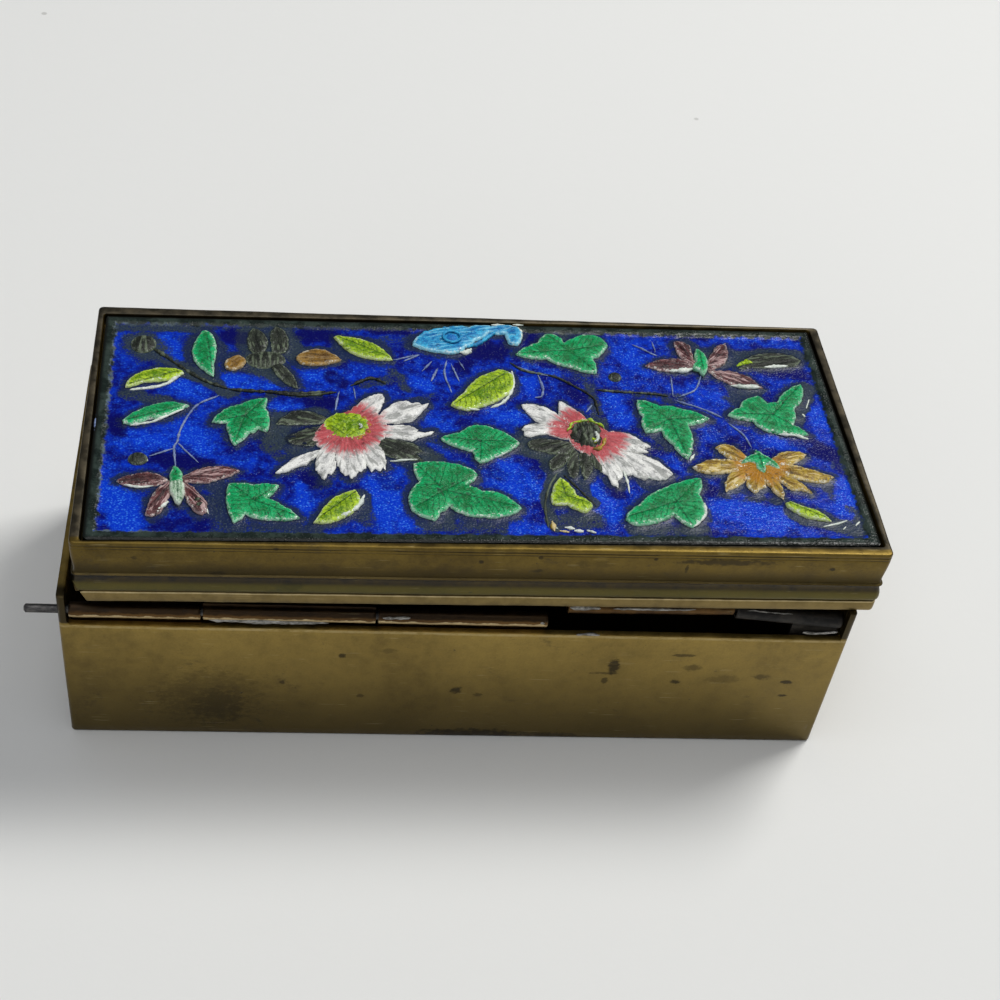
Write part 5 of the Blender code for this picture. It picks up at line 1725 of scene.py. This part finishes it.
    def make_heart_trim(self, finishes: dict[Glaze, bpy.types.Material]) -> list[bpy.types.Object]:
        """Builds the broken pale bead round each flower's heart.

        Args:
            finishes: The materials, by enamel.

        Returns:
            The pieces.
        """
        made, steps = [], 90
        table = (
            ("heart_bead_left", (-15.2, -0.6), (2.6, 2.3), (-95, 70), 0.24, 0.3, Glaze.GOLD),
            ("heart_bead_right", (12.7, -1.2), (2.2, 2.2), (15, 175), 0.22, 0.5, Glaze.LIME),
            ("heart_bead_lower", (12.6, -1.5), (2.1, 2.6), (-80, -10), 0.24, 0.5, Glaze.GOLD),
            ("heart_chip_right", (13.2, -2.2), (0.5, 0.9), (-95, 60), 0.26, 0.9, Glaze.PALE),
            ("heart_chip_low", (12.9, -2.9), (0.5, 0.3), (-60, 90), 0.2, 0.75, Glaze.LIME),
            ("heart_chip_left", (-13.9, -1.2), (0.3, 0.3), (-90, 90), 0.16, 0.9, Glaze.PALE),
        )
        for number, (name, middle, radius, span, thick, lift, glaze) in enumerate(table):
            angle = np.radians(np.linspace(span[0], span[1], steps))
            rough = 1 + 0.12 * ripple(np.column_stack((angle, angle * 0)), 3.1, number)
            x = middle[0] + radius[0] * rough * np.cos(angle)
            y = middle[1] + radius[1] * rough * np.sin(angle)
            spine = np.column_stack((x, y, np.full(steps, self.ground + lift)))
            share = np.linspace(0, 1, steps)
            radii = thick * np.clip(np.minimum(share, 1 - share) * 9, 0.1, 1) ** 0.5
            waver = 0.75 + 0.7 * ripple(spine, 1.9, number + 4) + 0.2 * np.sin(angle * 11)
            points, faces = sweep(spine, radii * np.clip(waver, 0.1, 2), (1.0, 0.9), 8)
            marks = self.even_marks(points, 0.35)
            made.append(self.small_piece(name, points, faces, marks, finishes[glaze]))
        return made

    def make_eye(self, finishes: dict[Glaze, bpy.types.Material]) -> list[bpy.types.Object]:
        """Builds the bird's eye: a ring round a deep blue disc.

        Args:
            finishes: The materials, by enamel.

        Returns:
            The pieces.
        """
        count, sides = 48, 10
        middle = np.array((-1.9, 15.7, self.ground + 0.78))
        rings = []
        for turn in np.linspace(0, 2 * math.pi, count, endpoint=False):
            centre = np.array((math.cos(turn), math.sin(turn), 0.0))
            for side in range(sides):
                around = 2 * math.pi * side / sides
                out, up = 1.05 + 0.17 * math.cos(around), 0.14 * math.sin(around)
                rings.append(middle + centre * out + (0.0, 0.0, up))
        faces = []
        for i in range(count):
            low, high = i * sides, (i + 1) % count * sides
            steps = [(j, (j + 1) % sides) for j in range(sides)]
            faces += [(low + j, high + j, high + k, low + k) for j, k in steps]
        marks = {key: np.full(len(rings), 0.6) for key in ("rim", "side", "along", "seed")}
        ring = self.small_piece("bird_eye_ring", np.array(rings), faces, marks, finishes[Glaze.SKY])
        blue = GlazeFinish(
            "eye_glaze", (0.005, 0.12, 0.42), (0.02, 0.25, 0.62), (0.02, 0.2, 0.5), (0.01, 0.1, 0.4),
            veins=0.0, chips=0.05,
        )
        disc = self.dome_mesh(middle[:2], (0.9, 0.9), 0.86, 0.0, 99.5, 12, 32)
        return [ring, self.small_piece("bird_eye", *disc, blue.make())]


@dataclass
class BoxBody:
    """The open brass box: four walls of sheet brass on a floor, low along the hinge side."""

    length: float = 90.0
    width: float = 40.0
    height: float = 23.4
    wall: float = 0.9
    floor: float = 1.0
    corner: float = 0.5
    hinge_top: float = 18.9
    fillet: float = 0.8
    edge_round: float = 0.13
    foot_round: float = 0.3
    rows: int = 20

    def top_at(self, columns: list[tuple[int, float, float]]) -> np.ndarray:
        """Returns how high the wall stands at each column.

        Args:
            columns: The loop's columns.

        Returns:
            One height for each column.
        """
        reach = self.length / 2 - self.wall
        tops = np.full(len(columns), self.height)
        for number, (kind, spot, _) in enumerate(columns):
            if kind == 0 and abs(spot) < reach - 1e-4:
                short = max(0.0, self.fillet - (spot + reach))
                tops[number] = self.hinge_top + self.fillet - math.sqrt(self.fillet**2 - short**2)
        return tops

    def build(self) -> bpy.types.Object:
        """Builds the box body.

        Returns:
            The piece.
        """
        reach = self.length / 2 - self.wall
        extra = (-reach, -reach + 1e-3, -reach + 0.1, -reach + 0.3, -reach + 0.6, reach - 1e-3, reach)
        loop = RoundedLoop(self.length, self.width, self.corner, 1.0, 5, extra)
        tops = self.top_at(loop.columns())
        foot, soft_edge, under = self.foot_round, self.edge_round, tops - 0.14
        levels = (foot, 0.0), (0.1, 0.07), (0.0, foot)
        rings = [(inset, np.full(len(tops), level)) for inset, level in levels]
        rings += [(0.0, foot + (under - foot) * row / self.rows) for row in range(1, self.rows + 1)]
        rings += [(0.03, tops - 0.05), (soft_edge, tops)]
        rings += [(self.wall - soft_edge, tops), (self.wall - 0.03, tops - 0.05)]
        for share in np.linspace(1, 0, self.rows // 2 + 1):
            rings.append((self.wall, self.floor + (under - self.floor) * share))
        rows = [np.column_stack((loop.ring(inset), level)) for inset, level in rings]
        points = self.dent(np.vstack(rows))
        points, faces = merge_close(points, loop_faces(len(rows), len(tops)))
        rubs = (
            (-28.5, 6.8, 7.5, 5.5, 0.36), (-27.6, 5.2, 3.6, 3.6, 0.42), (2.6, 0.5, 7.5, 1.2, 0.95),
            (18.3, 13.6, 0.8, 1.6, 0.9), (17.4, 12.3, 2.2, 0.3, 0.6), (17.6, 11.0, 0.5, 0.6, 0.7),
            (27.6, 13.6, 1.2, 0.7, 0.5), (26.0, 11.0, 0.7, 0.4, 0.85), (26.2, 15.8, 1.6, 0.3, 0.7),
            (0.2, 8.8, 0.8, 0.8, 0.85), (2.8, 8.0, 0.7, 0.4, 0.6), (36.2, 12.2, 1.3, 0.6, 0.6),
            (39.4, 11.3, 0.8, 0.4, 0.9), (39.4, 8.8, 0.7, 0.3, 0.9), (-13.4, 14.6, 0.5, 0.5, 0.85),
            (-11.0, 7.4, 0.5, 0.4, 0.6), (-20.2, 9.7, 0.4, 0.4, 0.7), (31.6, 11.6, 2.4, 0.9, 0.35),
            (-8.2, 15.6, 1.2, 0.5, 0.4), (12.0, 0.4, 5.0, 0.7, 0.7),
        )
        finish = BrassFinish("aged_brass_sides", foot=0.8, stained=0.6, rubs=rubs).make()
        piece = make_piece("brass_box", points, faces, BOX_PLACE, (finish,))
        return carry(piece, "base", "aged_brass", "base_box")

    def dent(self, points: np.ndarray) -> np.ndarray:
        """Returns the points with the slight waves of hand-worked sheet.

        Args:
            points: The points, one row each.

        Returns:
            The moved points.
        """
        moved = points.copy()
        amount = 0.07 * ripple(points, 0.07, 1.0) + 0.02 * ripple(points, 0.3, 2.0)
        level = np.clip(points[:, 2] / 3.0, 0, 1)
        front = np.abs(np.abs(points[:, 1]) - self.width / 2) < 1.0
        ends = np.abs(np.abs(points[:, 0]) - self.length / 2) < 1.0
        moved[:, 1] += np.where(front, amount * level, 0.0)
        moved[:, 0] += np.where(ends, amount * level * 0.6, 0.0)
        rim = points[:, 2] > self.hinge_top - 0.2
        moved[:, 2] += np.where(rim, 0.05 * ripple(points[:, :2], 0.25, 5.0), 0.0)
        return moved


@dataclass
class LidFrame:
    """The brass lid: a hollow cap with a moulded lower edge and a flat rim round the enamel."""

    length: float = 89.6
    width: float = 40.2
    corner: float = 0.6
    wall: float = 0.9
    ceiling: float = 6.75
    recess_floor: float = 7.55
    recess_inset: float = 0.9
    clip_width: float = 1.4
    clip_depth: float = 1.2
    clip_height: float = 4.2
    overlap: float = 0.4

    def outside(self) -> list[tuple[float, float]]:
        """Returns the side of the lid from its lower edge up, as insets and heights.

        Returns:
            One row for each ring.
        """
        lip = [(0.12, 0.0), (0.03, 0.04), (-0.02, 0.14), (-0.04, 0.6), (-0.04, 1.2), (0.0, 1.46)]
        groove = [(0.08, 1.56), (0.14, 1.62), (0.14, 1.7), (0.04, 1.78), (-0.12, 1.86)]
        band = [(-0.18, 2.0), (-0.2, 2.3), (-0.16, 2.7), (-0.04, 3.1), (0.06, 3.4), (0.1, 3.65)]
        crest = [(0.06, 3.88), (-0.02, 4.04), (-0.1, 4.12), (-0.1, 4.18), (-0.02, 4.24), (0.1, 4.3)]
        face = [(0.17, 4.42), (0.19, 4.7), (0.18, 5.1), (0.14, 5.6), (0.08, 6.2), (0.03, 6.9), (0.0, 7.7)]
        face += [(0.0, 7.92), (0.03, 8.02), (0.0, 8.12), (0.0, 8.36), (0.04, 8.45), (0.0, 8.54)]
        top = [(0.01, 8.8), (0.05, 8.92), (0.13, 8.98), (0.25, 9.0)]
        return lip + groove + band + crest + face + top

    def build(self) -> bpy.types.Object:
        """Builds the lid's frame.

        Returns:
            The piece.
        """
        extra = tuple(-self.length / 2 + step for step in (0.7, 0.9, 1.1, 1.3, self.clip_width, 1.42))
        loop = RoundedLoop(self.length, self.width, self.corner, 0.9, 6, extra)
        rings = [(self.wall, level) for level in (self.ceiling, 4.5, 2.2, 0.14)] + [(self.wall - 0.12, 0.0)]
        rows = [self.level_ring(loop.ring(inset), level) for inset, level in rings + self.outside()]
        for inset, level in ((-0.16, 8.99), (-0.05, 8.94), (0.0, 8.84), (0.0, 8.2), (0.0, self.recess_floor)):
            rows.append(self.level_ring(loop.ring(self.recess_inset + inset, 0.4, PANEL_TURN), level))
        points = self.dent(self.clip_corner(np.vstack(rows)))
        points, faces = merge_close(points, loop_faces(len(rows), len(rows[0])))
        half = np.array((self.length, self.width)) / 2 - self.recess_inset
        # Marks the recess round the panel, which the lid's finish paints in shade
        within = np.all(np.abs(points[:, :2]) < half + 0.06, axis=1)
        hidden = within * np.clip((8.97 - points[:, 2]) * 20, 0, 1)
        hidden[points[:, 2] < self.recess_floor - 0.1] = 0.0
        rubs = (
            (26.5, 7.5, 6.5, 0.6, 0.8), (-23.1, 8.5, 0.4, 0.25, 0.95), (-29.3, 4.5, 1.1, 0.35, 0.95),
            (-21.3, 2.8, 1.6, 1.0, 0.7), (-42.0, 3.9, 2.2, 0.6, 0.9), (-1.0, 7.0, 0.3, 0.3, 0.9),
            (5.5, 7.8, 0.3, 0.3, 0.8), (5.4, 5.6, 0.7, 0.3, 0.7), (18.2, 7.8, 0.3, 0.2, 0.9),
            (21.9, 6.4, 0.25, 0.9, 0.8), (38.3, 6.6, 0.4, 0.3, 0.9), (-38.0, 6.8, 0.5, 0.3, 0.7),
            (11.5, 6.9, 2.4, 0.7, 0.3), (-12.0, 6.4, 3.0, 0.9, 0.3),
        )
        bright, dull = (0.19, 0.128, 0.025), (0.068, 0.044, 0.009)
        finish = BrassFinish("aged_brass_lid", bright, dull, is_lid=True, stained=0.6, rubs=rubs).make()
        piece = make_piece("brass_lid", points, faces, LID_PLACE, (finish,), {"hidden": hidden}, 30.0)
        return carry(piece, "lid", "aged_brass", "lid_frame")

    @staticmethod
    def level_ring(ring: np.ndarray, level: float) -> np.ndarray:
        """Returns a ring of points at one height."""
        return np.column_stack((ring, np.full(len(ring), level)))

    def clip_corner(self, points: np.ndarray) -> np.ndarray:
        """Returns the points with the moulding's left hinge-side corner cut off at a slant.

        Args:
            points: The points, one row each.

        Returns:
            The moved points.
        """
        moved = points.copy()
        x = points[:, 0] + self.length / 2
        y = points[:, 1] + self.width / 2
        cut = self.clip_height * np.clip((self.clip_width - x) / (self.clip_width + self.overlap), 0.0, 1.0)
        picked = (y < self.clip_depth) & (points[:, 2] < cut)
        moved[picked, 2] = cut[picked]
        return moved

    def dent(self, points: np.ndarray) -> np.ndarray:
        """Returns the points with slight waves along the mouldings and nicks on the edges.

        Args:
            points: The points, one row each.

        Returns:
            The moved points.
        """
        moved = points.copy()
        amount = 0.04 * ripple(points, 0.09, 11.0) + 0.02 * ripple(points, 0.5, 12.0)
        front = np.abs(np.abs(points[:, 1]) - self.width / 2) < 0.5
        ends = np.abs(np.abs(points[:, 0]) - self.length / 2) < 0.5
        moved[:, 1] += np.where(front, amount, 0.0)
        moved[:, 0] += np.where(ends, amount, 0.0)
        moved[:, 2] += np.where(front | ends, 0.04 * ripple(points[:, :2], 0.2, 13.0), 0.0)
        return moved


Solid = tuple[np.ndarray, list[tuple[int, ...]]]

# Beads of old solder on the box's side: the points of each, its radius and its seed
SOLDER = (
    (((-28.6, -19.72, 20.0), (-24.0, -19.75, 19.95), (-19.0, -19.74, 19.9), (-15.1, -19.6, 19.8)), 0.27, 1.0),
    (((-26.5, -19.5, 19.65), (-21.0, -19.55, 19.65), (-17.5, -19.5, 19.65)), 0.2, 2.0),
    (((-9.3, -19.75, 20.85), (-7.8, -19.72, 20.92), (-6.0, -19.7, 20.98)), 0.2, 3.0),
    (((8.6, -19.78, 20.7), (9.4, -19.78, 20.65)), 0.22, 4.0),
    (((-10.4, -19.7, 20.8), (-10.0, -19.75, 20.4)), 0.2, 5.0),
    (((39.6, -19.35, 19.5), (41.4, -19.5, 19.6), (43.6, -19.5, 19.9)), 0.16, 7.0),
    (((32.4, -18.9, 22.6), (35.0, -18.9, 22.4), (38.0, -18.9, 22.1)), 0.09, 9.0),
    (((13.1, -19.85, 18.88), (14.6, -19.8, 18.92), (15.9, -19.85, 18.88)), 0.14, 6.0),
)

# The same on the lid's own tube, in the lid's axes
LID_SOLDER = (
    (((10.0, -19.3, -1.0), (11.6, -19.3, -0.9), (13.5, -19.3, -1.1)), 0.3, 7.0),
    (((15.0, -19.3, -1.1), (19.0, -19.3, -1.15), (24.5, -19.3, -1.1)), 0.14, 8.0),
)


@dataclass
class Hinge:
    """The broken hinge: five tubes of rolled brass, remains of solder and the pin that has worked out."""

    axis_y: float = -19.0
    axis_z: float = 20.5
    radius: float = 0.9
    bore: float = 0.6
    leaf_thickness: float = 0.4
    leaf_front: float = -18.8
    leaf_bottom: float = 15.7
    pin_radius: float = 0.5
    pin_start: float = -48.7
    pin_end: float = 9.0
    soft: float = 0.06

    def tube(self, start: np.ndarray, end: np.ndarray, sides: int = 32) -> Solid:
        """Returns a hollow tube with softened ends.

        Args:
            start: The middle of one end.
            end: The middle of the other end.
            sides: Points round the tube.

        Returns:
            The points and the faces.
        """
        length = float(np.linalg.norm(end - start))
        inner = np.linspace(0.3, length - 0.3, max(3, round(length)))
        steps = np.concatenate(((0.0, self.soft), inner, (length - self.soft, length)))
        sections = [(step, self.radius - (0.05 if step in (0.0, length) else 0.0)) for step in steps]
        sections += [(step, self.bore) for step in steps[::-1]]
        line = (end - start) / length
        side = np.cross(line, (0.0, 0.0, 1.0))
        side /= np.linalg.norm(side)
        up = np.cross(side, line)
        angle = np.linspace(0, 2 * math.pi, sides, endpoint=False)
        ring = np.outer(np.cos(angle), side) + np.outer(np.sin(angle), up)
        points = np.vstack([start + line * step + radius * ring for step, radius in sections])
        points += 0.018 * ripple(points, 0.6, float(start[0]))[:, None] * (0.0, 1.0, 1.0)
        faces = []
        for row in range(len(sections)):
            low, high = row * sides, (row + 1) % len(sections) * sides
            around = [(i, (i + 1) % sides) for i in range(sides)]
            faces += [(low + i, low + j, high + j, high + i) for i, j in around]
        return points, faces

    def plate(self, low: Sequence[float], high: Sequence[float]) -> Solid:
        """Returns a thin plate with softened edges.

        Args:
            low: Its lowest corner.
            high: Its highest corner.

        Returns:
            The points and the faces.
        """
        (x0, y0, z0), (x1, y1, z1) = low, high
        soft_edge = self.soft
        inner = np.linspace(x0 + 0.5, x1 - 0.5, max(2, round(x1 - x0)))
        xs = np.concatenate(((x0, x0 + soft_edge), inner, (x1 - soft_edge, x1)))
        profile = np.array((
            (y0 + soft_edge, z0), (y1 - soft_edge, z0), (y1, z0 + soft_edge), (y1, z1 - soft_edge),
            (y1 - soft_edge, z1), (y0 + soft_edge, z1), (y0, z1 - soft_edge), (y0, z0 + soft_edge),
        ))
        middle = np.array(((y0 + y1) / 2, (z0 + z1) / 2))
        rows = []
        for x in xs:
            section = middle + (profile - middle) * (0.94 if x in (xs[0], xs[-1]) else 1.0)
            rows.append(np.column_stack((np.full(len(profile), x), section)))
        points = np.vstack(rows)
        points[:, 2] += 0.05 * ripple(points[:, :1], 0.5, z0)
        return points, loop_faces(len(rows), len(profile))

    def lump(self, path: Sequence[Sequence[float]], radius: float, seed: float) -> Solid:
        """Returns an uneven bead of solder.

        Args:
            path: The points that it runs through.
            radius: Its radius.
            seed: Which noise shapes it.

        Returns:
            The points and the faces.
        """
        spine = smooth_path(path, 0.25)
        share = np.linspace(0, 1, len(spine))
        taper = np.clip(np.minimum(share, 1 - share) * 8, 0.05, 1) ** 0.5
        radii = radius * taper * (1 + 0.6 * ripple(spine, 0.9, seed))
        points, faces = sweep(spine, radii, (1.0, 1.0), 10)
        points += 0.06 * ripple(points, 1.6, seed + 2)[:, None]
        return points, faces

    def finish(
        self,
        name: str,
        solids: Sequence[Solid],
        material: bpy.types.Material,
        slot: str,
        *nodes: str,
        on_lid: bool = False,
    ) -> bpy.types.Object:
        """Makes one piece of the hinge from several closed forms.

        Args:
            name: The piece's name.
            solids: The points and the faces of each form.
            material: Its material.
            slot: Its material slot, which is not used.
            *nodes: The plain solids that it replaces.
            on_lid: Whether it is on the lid and in the lid's axes.

        Returns:
            The piece.
        """
        place, body = (LID_PLACE, "lid") if on_lid else (BOX_PLACE, "base")
        piece = make_piece(name, *stack(solids), place, (material,), None, 40.0)
        return carry(piece, body, slot, *nodes)

    def build(self) -> list[bpy.types.Object]:
        """Builds every piece of the hinge.

        Returns:
            The pieces.
        """
        # The tubes' brass is darker than the box's: brown tarnish, and painted shade for the lid's overhang
        tones = (0.16, 0.085, 0.024), (0.035, 0.016, 0.006), (0.012, 0.008, 0.005)
        brown = BrassFinish("hinge_brass_brown", *tones, 0.4, 0.85, 0.8, is_tube=True).make()
        # Painted shadow: the bent tube is made near-black for the lid's shadow that lies on it
        burnt = SmearedMetal("burnt_brass", (0.006, 0.005, 0.004), (0.035, 0.03, 0.024), 0.6, 0.4, 0.8).make()
        grey, pale = (0.14, 0.135, 0.12), (0.42, 0.41, 0.38)
        solder = SmearedMetal("old_solder", grey, pale, 0.42, 0.6, 2.2, 0.09).make()
        dark, worn = (0.03, 0.03, 0.032), (0.12, 0.115, 0.11)
        steel = SmearedMetal("dark_pin_steel", dark, worn, 0.45, 0.8, 1.5, 0.03).make()
        left, middle = self.sound_knuckle(-43.8, -29.4), self.sound_knuckle(-9.6, 9.6)
        remains = [self.lump(*bead) for bead in SOLDER]
        lid_remains = [self.lump(*bead) for bead in LID_SOLDER]
        make, brass = self.finish, "hinge_brass"
        return [
            make("hinge_tube_a", left, brown, brass, "hinge_knuckle_a"),
            make("hinge_tube_b", self.torn_knuckle(), brown, brass, "hinge_knuckle_b"),
            make("hinge_tube_c", middle, brown, brass, "hinge_knuckle_c"),
            make("hinge_tube_e", self.bent_knuckle(), burnt, "blackened_brass", "hinge_knuckle_e"),
            make("steel_pin", (self.pin(),), steel, "pin_steel", "hinge_pin"),
            make("solder_remains", remains, solder, brass),
            make("hinge_tube_d", self.loose_knuckle(), brown, brass, "hinge_knuckle_d", on_lid=True),
            make("solder_on_lid", lid_remains, solder, brass, on_lid=True),
        ]

    def on_axis(self, x: float, back: float = 0.0, up: float = 0.0) -> np.ndarray:
        """Returns a point on the hinge's line, or a little off it."""
        return np.array((x, self.axis_y + back, self.axis_z + up))

    def leaf(self, low: float, high: float, top: float) -> Solid:
        """Returns the flat leaf that holds a tube to the box, between two places along x."""
        back = self.leaf_front + self.leaf_thickness
        return self.plate((low, self.leaf_front, self.leaf_bottom), (high, back, self.axis_z + top))

    def sound_knuckle(self, low: float, high: float) -> list[Solid]:
        """Returns a tube that is still held by its leaf."""
        return [self.tube(self.on_axis(low), self.on_axis(high)), self.leaf(low, high, -0.3)]

    def torn_knuckle(self) -> list[Solid]:
        """Returns the lid's tube that has torn off and is still on the pin."""
        start, end = self.on_axis(-29.1), self.on_axis(-9.9)
        return [self.tube(start, end), self.plate(start + (0.0, 0.0, 0.6), end + (0.0, 0.4, 1.28))]

    def bent_knuckle(self) -> list[Solid]:
        """Returns the last tube, bent up off the hinge's line."""
        start, end = self.on_axis(31.37, 0.8, 1.3), self.on_axis(43.8, 0.3, 0.5)
        return [self.tube(start, end), self.leaf(38.3, 43.8, 0.4)]

    def pin(self) -> Solid:
        """Builds the pin, with a bevelled tip at the end that sticks out.

        Returns:
            The points and the faces.
        """
        length = self.pin_end - self.pin_start
        xs = np.concatenate(((0.0, 0.12, 0.2), np.linspace(0.6, length - 1.7, 70), (length - 0.2, length)))
        radii = np.full(len(xs), self.pin_radius)
        radii[0], radii[1], radii[-1] = 0.3, 0.44, 0.42
        spine = np.full((len(xs), 3), self.on_axis(0.0))
        spine[:, 0] = xs + self.pin_start
        return sweep(spine, radii * (1 + 0.05 * ripple(spine, 0.8, 3.0)), (1.0, 1.0), 24)

    def loose_knuckle(self) -> list[Solid]:
        """Builds the tube that is still on the lid, in the lid's axes.

        Returns:
            The tube and its leaf.
        """
        front, level = -18.9, -1.6
        middle = front + self.radius - self.leaf_thickness
        tube = self.tube(np.array((9.9, middle, level)), np.array((29.1, middle, level)))
        return [tube, self.plate((9.9, front, level + 0.3), (29.1, front + self.leaf_thickness, 3.5))]


@dataclass
class Studio:
    """The pale sheet, the soft lights and the camera at the photograph's view."""

    floor_size: float = 3.0
    lens: float = 59.77
    shift: Point = (0.05326, 0.07097)
    spot: tuple[float, float, float] = (-0.01986, -0.14408, 0.159143)
    right: tuple[float, float, float] = (0.99515, -0.04832, 0.08564)
    down: tuple[float, float, float] = (0.02404, -0.725, -0.68833)
    forward: tuple[float, float, float] = (0.09535, 0.68705, -0.72032)

    def build(self) -> None:
        """Builds the whole studio."""
        self.floor()
        self.camera()
        self.lights()
        self.sky()

    def floor(self) -> None:
        """Lays the pale sheet under the box."""
        half = self.floor_size / 2 / MM
        points = np.array(((-half, -half, 0.0), (half, -half, 0.0), (half, half, 0.0), (-half, half, 0.0)))
        sheet = make_piece("pale_sheet", points, ((0, 1, 2, 3),), BOX_PLACE, (PaperFinish().make(),))

    def camera(self) -> None:
        """Sets the camera where the photograph was taken from."""
        data = bpy.data.cameras.new("photo_view")
        data.lens = self.lens
        data.sensor_width = 36.0
        data.shift_x, data.shift_y = self.shift
        data.clip_start, data.clip_end = 0.01, 20.0
        camera = bpy.data.objects.new("photo_view", data)
        rows = zip(self.right, [-c for c in self.down], [-c for c in self.forward])
        turn = Matrix([list(row) for row in rows]).to_4x4()
        camera.matrix_world = Matrix.Translation(self.spot) @ turn
        bpy.context.scene.collection.objects.link(camera)
        bpy.context.scene.camera = camera

    def lights(self) -> None:
        """Hangs the soft lights."""
        table = (
            ("window", (0.45, 0.33, 0.86), 0.34, 7.4, (1.0, 0.99, 0.96)),
            ("ceiling", (-0.15, -0.15, 1.2), 0.9, 4.9, (0.98, 0.99, 1.0)),
            ("front_fill", (-0.35, -0.9, 0.5), 0.7, 1.8, (0.97, 0.98, 1.0)),
        )
        for name, spot, size, power, colour in table:
            data = bpy.data.lights.new(name, "AREA")
            data.size = size
            data.energy = power
            data.color = colour
            light = bpy.data.objects.new(name, data)
            light.location = spot
            aim = Vector((0.0, 0.0, 0.015)) - Vector(spot)
            light.rotation_mode = "QUATERNION"
            light.rotation_quaternion = aim.to_track_quat("-Z", "Y")
            bpy.context.scene.collection.objects.link(light)

    def sky(self) -> None:
        """Fills the room with even pale light."""
        world = bpy.data.worlds.new("pale_room")
        world.use_nodes = True
        back = world.node_tree.nodes["Background"]
        back.inputs["Color"].default_value = (0.9, 0.93, 1.0, 1.0)
        back.inputs["Strength"].default_value = 0.13
        bpy.context.scene.world = world
        bpy.context.scene.view_settings.view_transform = "Standard"


def main() -> None:
    """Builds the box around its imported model."""
    logging.basicConfig(level=logging.INFO, format="%(name)s: %(message)s")
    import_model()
    builders: tuple[tuple[str, Callable[[], Any]], ...] = (
        ("box body", BoxBody().build),
        ("lid frame", LidFrame().build),
        ("hinge", Hinge().build),
        ("enamel picture", EnamelPicture().build),
    )
    for title, build in builders:
        made = build()
        for piece in made if isinstance(made, list) else [made]:
            LOG.info("%s: %s, %d faces", title, piece.name, len(piece.data.polygons))
    Studio().build()


if __name__ == "__main__":
    main()
